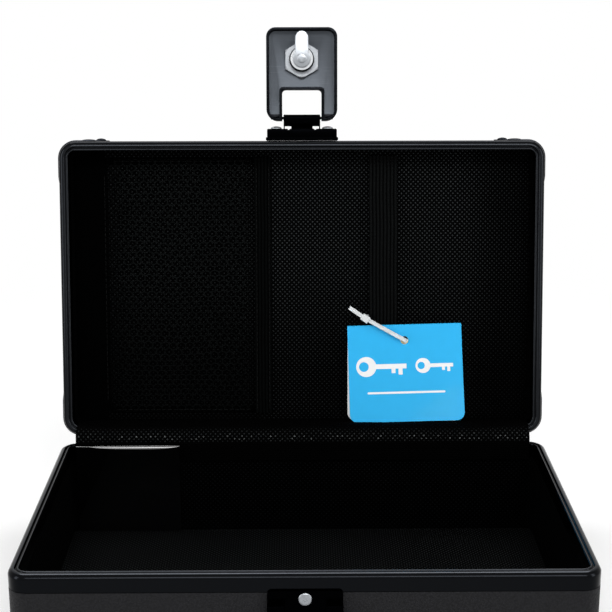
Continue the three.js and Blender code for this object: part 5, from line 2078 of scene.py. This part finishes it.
@dataclass
class KeyTag(Assembly):
    """The folded blue tag that hangs a little askew, its print, the tie through it, and the two keys."""

    lean: float = 7.8
    leaf: float = 0.36
    leaf_lift: float = 2.4
    turned: float = 1.4
    back_turned: float = -1.7
    back_short: float = 1.0
    aside: float = 1.1
    trim: float = 1.0
    drop: float = 0.8
    radius: float = 3.5
    dice: float = 2.5
    hole_from_left: float = 24.9
    hole_from_top: float = 7.0
    hole_radius: float = 1.75
    print_height: float = 0.05
    print_root: float = 0.2
    tie_width: float = 1.7
    tie_depth: float = 1.0
    tie_border: float = 0.12
    tie_head: float = 3.6
    tie_rise: float = 9.6
    tie_tail: float = 8.6
    tie_clearance: float = 0.9
    tie_radius: float = 0.75
    tie_across: Triple = (0.4, 0.9, 0.0)
    key_reach: float = 3.0

    def __post_init__(self) -> None:
        """Finds the tag's own frame: X across it, Y up it, and Z out of its face."""
        leaned = self.spot.moved(Vector(), -self.lean)
        low, high = leaned.box("key_tag")
        self.width, self.tall, self.thick = high - low
        self.tall -= self.trim
        origin = Vector(((low.x + high.x) / 2 - self.aside, low.y - self.drop, (low.z + high.z) / 2))
        self.hole = (self.hole_from_left - self.width / 2, self.tall - self.hole_from_top)
        self.tag = Spot(leaned.moved(origin).matrix @ about(*self.hole, self.turned))

    def card(self) -> tuple[Shape, Shape]:
        """The two leaves with the fold at their top.

        Returns:
            The front leaf with the fold, and the back leaf, which shows a little on the left.
        """
        half, thick, sheet = self.width / 2, self.thick / 2, self.leaf
        hole = Shape.turned([(self.hole_radius, -3), (self.hole_radius, 3)]).at((*self.hole, 0))
        fold = self.tall - thick * 0.4
        outline = rounded((-half, half), (0, fold), self.radius, 0.3, 10)
        front = Shape.slab(outline, Axis.Z, thick - sheet, thick).combined(Join.CUT, hole)
        outline = rounded((-half, half - 0.3), (0.2, fold - self.back_short), self.radius, 0.3, 10)
        back = Shape.slab(outline, Axis.Z, -thick, -thick + sheet).moved(about(*self.hole, self.back_turned))
        outer = arc((self.tall - thick, 0), thick, 90, -90, 12)
        inner = arc((self.tall - thick, 0), thick - sheet, -90, 90, 12)
        roll = Shape.slab([*outer, *inner], Axis.X, -half + 0.1, half - 0.1)
        return front.diced(self.dice).bent(self.curl) + roll, back.combined(Join.CUT, hole)

    def curl(self, point: Vector) -> Vector:
        """Where a point of the front leaf goes when its free edge lifts a little.

        Args:
            point: The point on the flat leaf.

        Returns:
            The point on the lifted one.
        """
        share = max(0.0, 1 - point.y / self.tall)
        lift = self.leaf_lift * share**2 * (1 + 0.8 * point.x / self.width)
        return Vector((point.x, point.y, point.z + lift))

    def key_sign(self, x: float, y: float, size: float) -> Shape:
        """A flat sign of a key that lies across the tag, with its bow on the left.

        Args:
            x: Its place across the tag.
            y: Its place up the tag.
            size: The width of its bow.

        Returns:
            The sign.
        """
        up = (-self.print_root, self.print_height)
        bow = Shape.turned([(size * 0.5, height) for height in up], 36)
        shank = Shape.block((size * 0.3, size * 2.0), (-size * 0.12, size * 0.12), up)
        teeth = [
            Shape.block((size * start, size * (start + 0.2)), (-size * drop, 0), up)
            for start, drop in ((1.25, 0.34), (1.6, 0.42))
        ]
        hole = Shape.turned([(size * 0.24, -1), (size * 0.24, 1)], 28).at((-size * 0.12, 0, 0))
        made = bow.combined(Join.ADD, shank, *teeth).combined(Join.CUT, hole)
        return made.at((x - size * 0.75, y, self.thick / 2))

    def print_shape(self) -> Shape:
        """The white print: two signs of keys, a larger and a smaller, over a plain rule.

        Returns:
            The print.
        """
        signs = [self.key_sign(-10.6, 24.2, 8.8), self.key_sign(12.6, 24.2, 6.6)]
        face = self.thick / 2
        outline = rounded((-17, 17), (12.2, 13.1), 0.4, steps=3)
        rule = Shape.slab(outline, Axis.Z, face - self.print_root, face + self.print_height)
        return Shape.all_of([*signs, rule]).diced(self.dice).bent(self.curl)

    def tie_route(self) -> list[Vector]:
        """The tie's loop in the lid's inside frame.

        Returns:
            The points of its loop, from its head round and back to it.
        """
        to_inside = self.spot.matrix.inverted() @ self.tag.matrix
        low, high = self.spot.box("elastic_strap")
        middle, thin = (low.x + high.x) / 2, self.tie_radius
        front = to_inside @ Vector((*self.hole, self.thick / 2 + thin + self.tie_clearance))
        back = to_inside @ Vector((*self.hole, -self.thick / 2 - self.key_reach - thin - GAP))
        left = low.x - thin - GAP
        head_y = front.y + self.tie_rise
        behind = low.z + (ElasticStrap.rise * (1 - (head_y / ((high.y - low.y) / 2)) ** 2) - GAP) / 2
        head = Vector((left - self.tie_head / 4, head_y, front.z))
        return [
            head,
            Vector((middle, (head_y + front.y) / 2 + thin / 3, front.z + thin / 2)),
            front,
            to_inside @ Vector((*self.hole, 0)),
            back,
            Vector((high.x, back.y + self.tie_head, behind)),
            Vector((middle, head_y - self.tie_head / 2, behind)),
            Vector((left, head_y, behind)),
            Vector((head.x - thin, head_y, (behind + head.z) / 2)),
            head,
        ]

    def tie(self) -> Shape:
        """The nylon tie: a flat strap with raised borders, its ratchet head and its cut tail.

        Returns:
            The tie.
        """
        route = self.tie_route()
        head, across = route[0], Vector(self.tie_across)
        half, thick, edge = self.tie_width / 2, self.tie_depth / 2, self.tie_border
        section = [
            (-half, -thick), (half, -thick),
            *arc((half - edge, thick - edge), edge, 0, 90, 3),
            (half - 0.34, thick), (half - 0.42, thick - 0.16),
            (0.42 - half, thick - 0.16), (0.34 - half, thick),
            *arc((edge - half, thick - edge), edge, 90, 180, 3),
        ]
        way = Vector((-0.7071, 0.7071 * 0.7, 0.09)).normalized()
        loop = Shape.tube(smooth_path(route, 14), section, across)
        tail = Shape.tube([head + way * reach for reach in even(0.0, self.tie_tail, 12)], section, across)
        size = self.tie_head / 2
        box = Shape.block((-size, size), (-size * 0.85, size * 0.85), (-1.2, 1.3)).bevelled(0.4, 3)
        dent = Shape.block((-0.4, 0.8), (-half * 0.8, half * 0.8), (-2, -0.9))
        degrees = math.degrees(math.atan2(way.y, way.x))
        return Shape.all_of([loop, tail, box.combined(Join.CUT, dent).at(head, degrees, "Z")])

    def build(self) -> None:
        """Makes the tag, its print and the tie, and gives the frame's own keys their finish."""
        front, back = self.card()
        leaf = self.piece("tag_card", front, TAG_WHITE, ["key_tag"], 40, self.tag)
        leaf.data.materials.append(TAG_BLUE.material())
        out, up = self.tag.way(0, 0, 1), self.tag.way(0, 1, 0)
        top = (self.tag.matrix @ Vector((0, self.tall - self.thick, 0))) * MM
        for polygon in leaf.data.polygons:
            on_fold = (polygon.center - top).dot(up) > 0 and polygon.normal.dot(up) > 0.05
            if polygon.normal.dot(out) > 0.6 or on_fold:
                polygon.material_index = 1
        self.piece("tag_back", back, TAG_WHITE, smooth=40, spot=self.tag)
        self.piece("tag_print", self.print_shape(), TAG_WHITE, smooth=30, spot=self.tag)
        self.piece("nylon_tie", self.tie(), NYLON, ["tag_tie"], 40)
        for name in ("key_main", "key_spare"):
            materials = frame["nodes"][name].data.materials
            materials.clear()
            materials.append(BRASS.material())
            LOG.info("%s: the frame's own node, in %s", name, BRASS.name)


@dataclass
class BaseCard(Assembly):
    """The folded glossy card that stands at the back of the base, with its fold at the top."""

    leaf: float = 0.25
    fold: float = 2.1
    pinch: float = 0.25
    slack: float = 0.88
    bow: float = 0.5
    trim_left: float = 1.6
    trim_right: float = 6.2
    rise: float = 2.1
    steps: int = 26

    def __post_init__(self) -> None:
        """Reads the card's extent from the frame."""
        self.low, self.high = self.spot.box("base_card")
        self.low.x += self.trim_left
        self.high.x -= self.trim_right
        self.high.z += self.rise

    def face(self, inset: float, fold: float) -> list[Pair]:
        """One face of the card: up its front, over the soft fold and down its back.

        Args:
            inset: How far it lies inside the outer face.
            fold: How high the fold is.

        Returns:
            Its points, from the card's middle along Y, and up.
        """
        back = (self.high.y - self.low.y) / 2 - inset
        top = self.high.z - fold
        front = [(-back, z) for z in even(self.low.z, top, self.steps)[:-1]]
        return [*front, *arc((back, top), (2 * back, fold - inset), 180, 90, 14), (back, self.low.z)]

    def build(self) -> None:
        """Makes the card, a little bowed."""
        low, high = self.low, self.high
        middle = (high.y + low.y) / 2
        rings = []
        for share in even(0.0, 1.0, 40):
            open_share = max(0.0, share + self.slack - 1) / self.slack
            round_share = 1 - abs(2 * open_share - 1) ** 3
            fold = self.pinch + (self.fold - self.pinch) * round_share * (0.6 + 0.4 * open_share)
            bow = -self.bow * (1 - (2 * share - 1) ** 2)
            outline = [*self.face(0.0, fold), *reversed(self.face(self.leaf, fold))]
            x = low.x + (high.x - low.x) * share
            tall = high.z - low.z
            rings.append([Vector((x, middle + a + bow * (z - low.z) / tall, z)) for a, z in outline])
        self.piece("card_sleeve", Shape.rings(rings), CARD, ["base_card"], 40)


@dataclass(frozen=True)
class Lamp:
    """A soft lamp with a rectangular face."""

    name: str
    place: Triple
    size: Pair
    power: float


@dataclass
class Studio:
    """The plain pale floor, the soft lamps, the white surroundings and the camera."""

    lens_px: float = 1381.5
    picture_px: float = 612.0
    sensor: float = 36.0
    eye: Triple = (-2.92, -497.71, 261.34)
    pitch: float = 15.686
    yaw: float = -0.442
    roll: float = -0.07
    floor_size: float = 12.0
    floor_drop: float = 0.0002
    floor_colour: Colour = (0.9, 0.9, 0.9)
    floor_fade: Pair = (230.0, 520.0)
    floor_lift: float = 0.12
    lamps: tuple[Lamp, ...] = (
        Lamp("front_lamp", (0.15, -1.5, 1.15), (1.5, 0.45), 18.5),
        Lamp("left_lamp", (-1.4, -0.65, 0.45), (0.4, 1.1), 10.0),
        Lamp("right_lamp", (1.4, -0.65, 0.45), (0.4, 1.1), 9.0),
        Lamp("rear_lamp", (0.0, 0.6, 1.5), (1.5, 0.6), 20.0),
    )
    soft_strength: float = 0.2
    aim: Triple = (0.0, 0.03, 0.09)

    def surroundings(self) -> None:
        """A world that lights softly and shows white."""
        world = bpy.data.worlds.new("surroundings")
        bpy.context.scene.world = world
        world.use_nodes = True
        tree = Tree(world.node_tree)
        soft = world.node_tree.nodes["Background"]
        tree.put(soft.inputs["Color"], WHITE)
        tree.put(soft.inputs["Strength"], self.soft_strength)
        shown = tree.node("ShaderNodeBackground", inputs={"Color": WHITE, "Strength": 1.0})
        tree.show(tree.white_to_eye(), Value(tree, soft.outputs[0]), shown)

    def floor(self) -> None:
        """A wide pale floor at the object's foot, lifted to white for the eye but not in the shadow."""
        half = self.floor_size / 2
        mesh = bpy.data.meshes.new("floor")
        corners = [(-half, -half, 0), (half, -half, 0), (half, half, 0), (-half, half, 0)]
        mesh.from_pydata(corners, [], [(0, 1, 2, 3)])
        made = bpy.data.objects.new("floor", mesh)
        made.location.z = -self.floor_drop
        bpy.context.scene.collection.objects.link(made)
        look = Look("pale_floor")
        place = look.place()
        colour = look.mix(look.noise(place, 0.004), scaled(self.floor_colour, 0.985), self.floor_colour)
        look.set(Base_Color=colour, Roughness=0.9, Specular_IOR_Level=0.1)
        away = look.node("ShaderNodeVectorMath", {"operation": "LENGTH"}, {0: place}, "Value")
        far = away.step(*self.floor_fade) * look.white_to_eye()
        lift = self.floor_lift + (1 - self.floor_lift) * far
        look.show(lift, Value(look, look.shader.outputs[0]), look.node("ShaderNodeEmission"))
        mesh.materials.append(look.material)

    def light(self) -> None:
        """Large soft lamps in front, at both sides and behind."""
        for lamp in self.lamps:
            data = bpy.data.lights.new(lamp.name, "AREA")
            data.shape = "RECTANGLE"
            data.size, data.size_y = lamp.size
            data.energy = lamp.power
            made = bpy.data.objects.new(lamp.name, data)
            made.location = lamp.place
            made.rotation_euler = (Vector(lamp.place) - Vector(self.aim)).to_track_quat("Z", "Y").to_euler()
            bpy.context.scene.collection.objects.link(made)

    def camera(self) -> None:
        """The camera at the photograph's place."""
        data = bpy.data.cameras.new("camera")
        data.sensor_width = self.sensor
        data.lens = self.sensor * self.lens_px / self.picture_px
        data.clip_start = 0.01
        made = bpy.data.objects.new("camera", data)
        facing = turn(self.yaw, "Z") @ turn(90 - self.pitch, "X") @ turn(self.roll, "Z")
        made.matrix_world = Matrix.Translation(Vector(self.eye) * MM) @ facing
        bpy.context.scene.collection.objects.link(made)
        bpy.context.scene.camera = made

    def build(self) -> None:
        """Sets up the whole studio."""
        bpy.context.scene.view_settings.view_transform = "Standard"
        self.surroundings()
        self.floor()
        self.light()
        self.camera()
        LOG.info("studio: %d lamps", len(self.lamps))


def main() -> None:
    """Builds the studio and every sub-assembly in order."""
    logging.basicConfig(level=logging.INFO, format="%(name)s: %(message)s")
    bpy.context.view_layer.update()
    base_z, lid_z = HOME.box("base_shell")[0].z, CLOSED.box("lid_shell")[1].z
    parts: list[Assembly] = [
        CaseHalf(HOME, "base", "base", HINGE_PIN.z, base_z, FLOOR_WEAVE, BASE_PAINTED_HIGHLIGHT),
        CaseHalf(CLOSED, "lid", "lid", LID_FACE_Z, lid_z),
        Hinges(HOME, "base"),
        LatchPlate(CLOSED, "lid"),
        Hasp(FLAP, "hasp"),
        CamLock(FLAP, "hasp"),
        StrikePlate(HOME, "base"),
        MeshPocket(INSIDE, "lid"),
        ElasticStrap(INSIDE, "lid"),
        KeyTag(INSIDE, "lid"),
        BaseCard(HOME, "base"),
    ]
    Studio().build()
    for part in parts:
        part.build()
        LOG.info("%s is done", type(part).__name__)


if __name__ == "__main__":
    main()
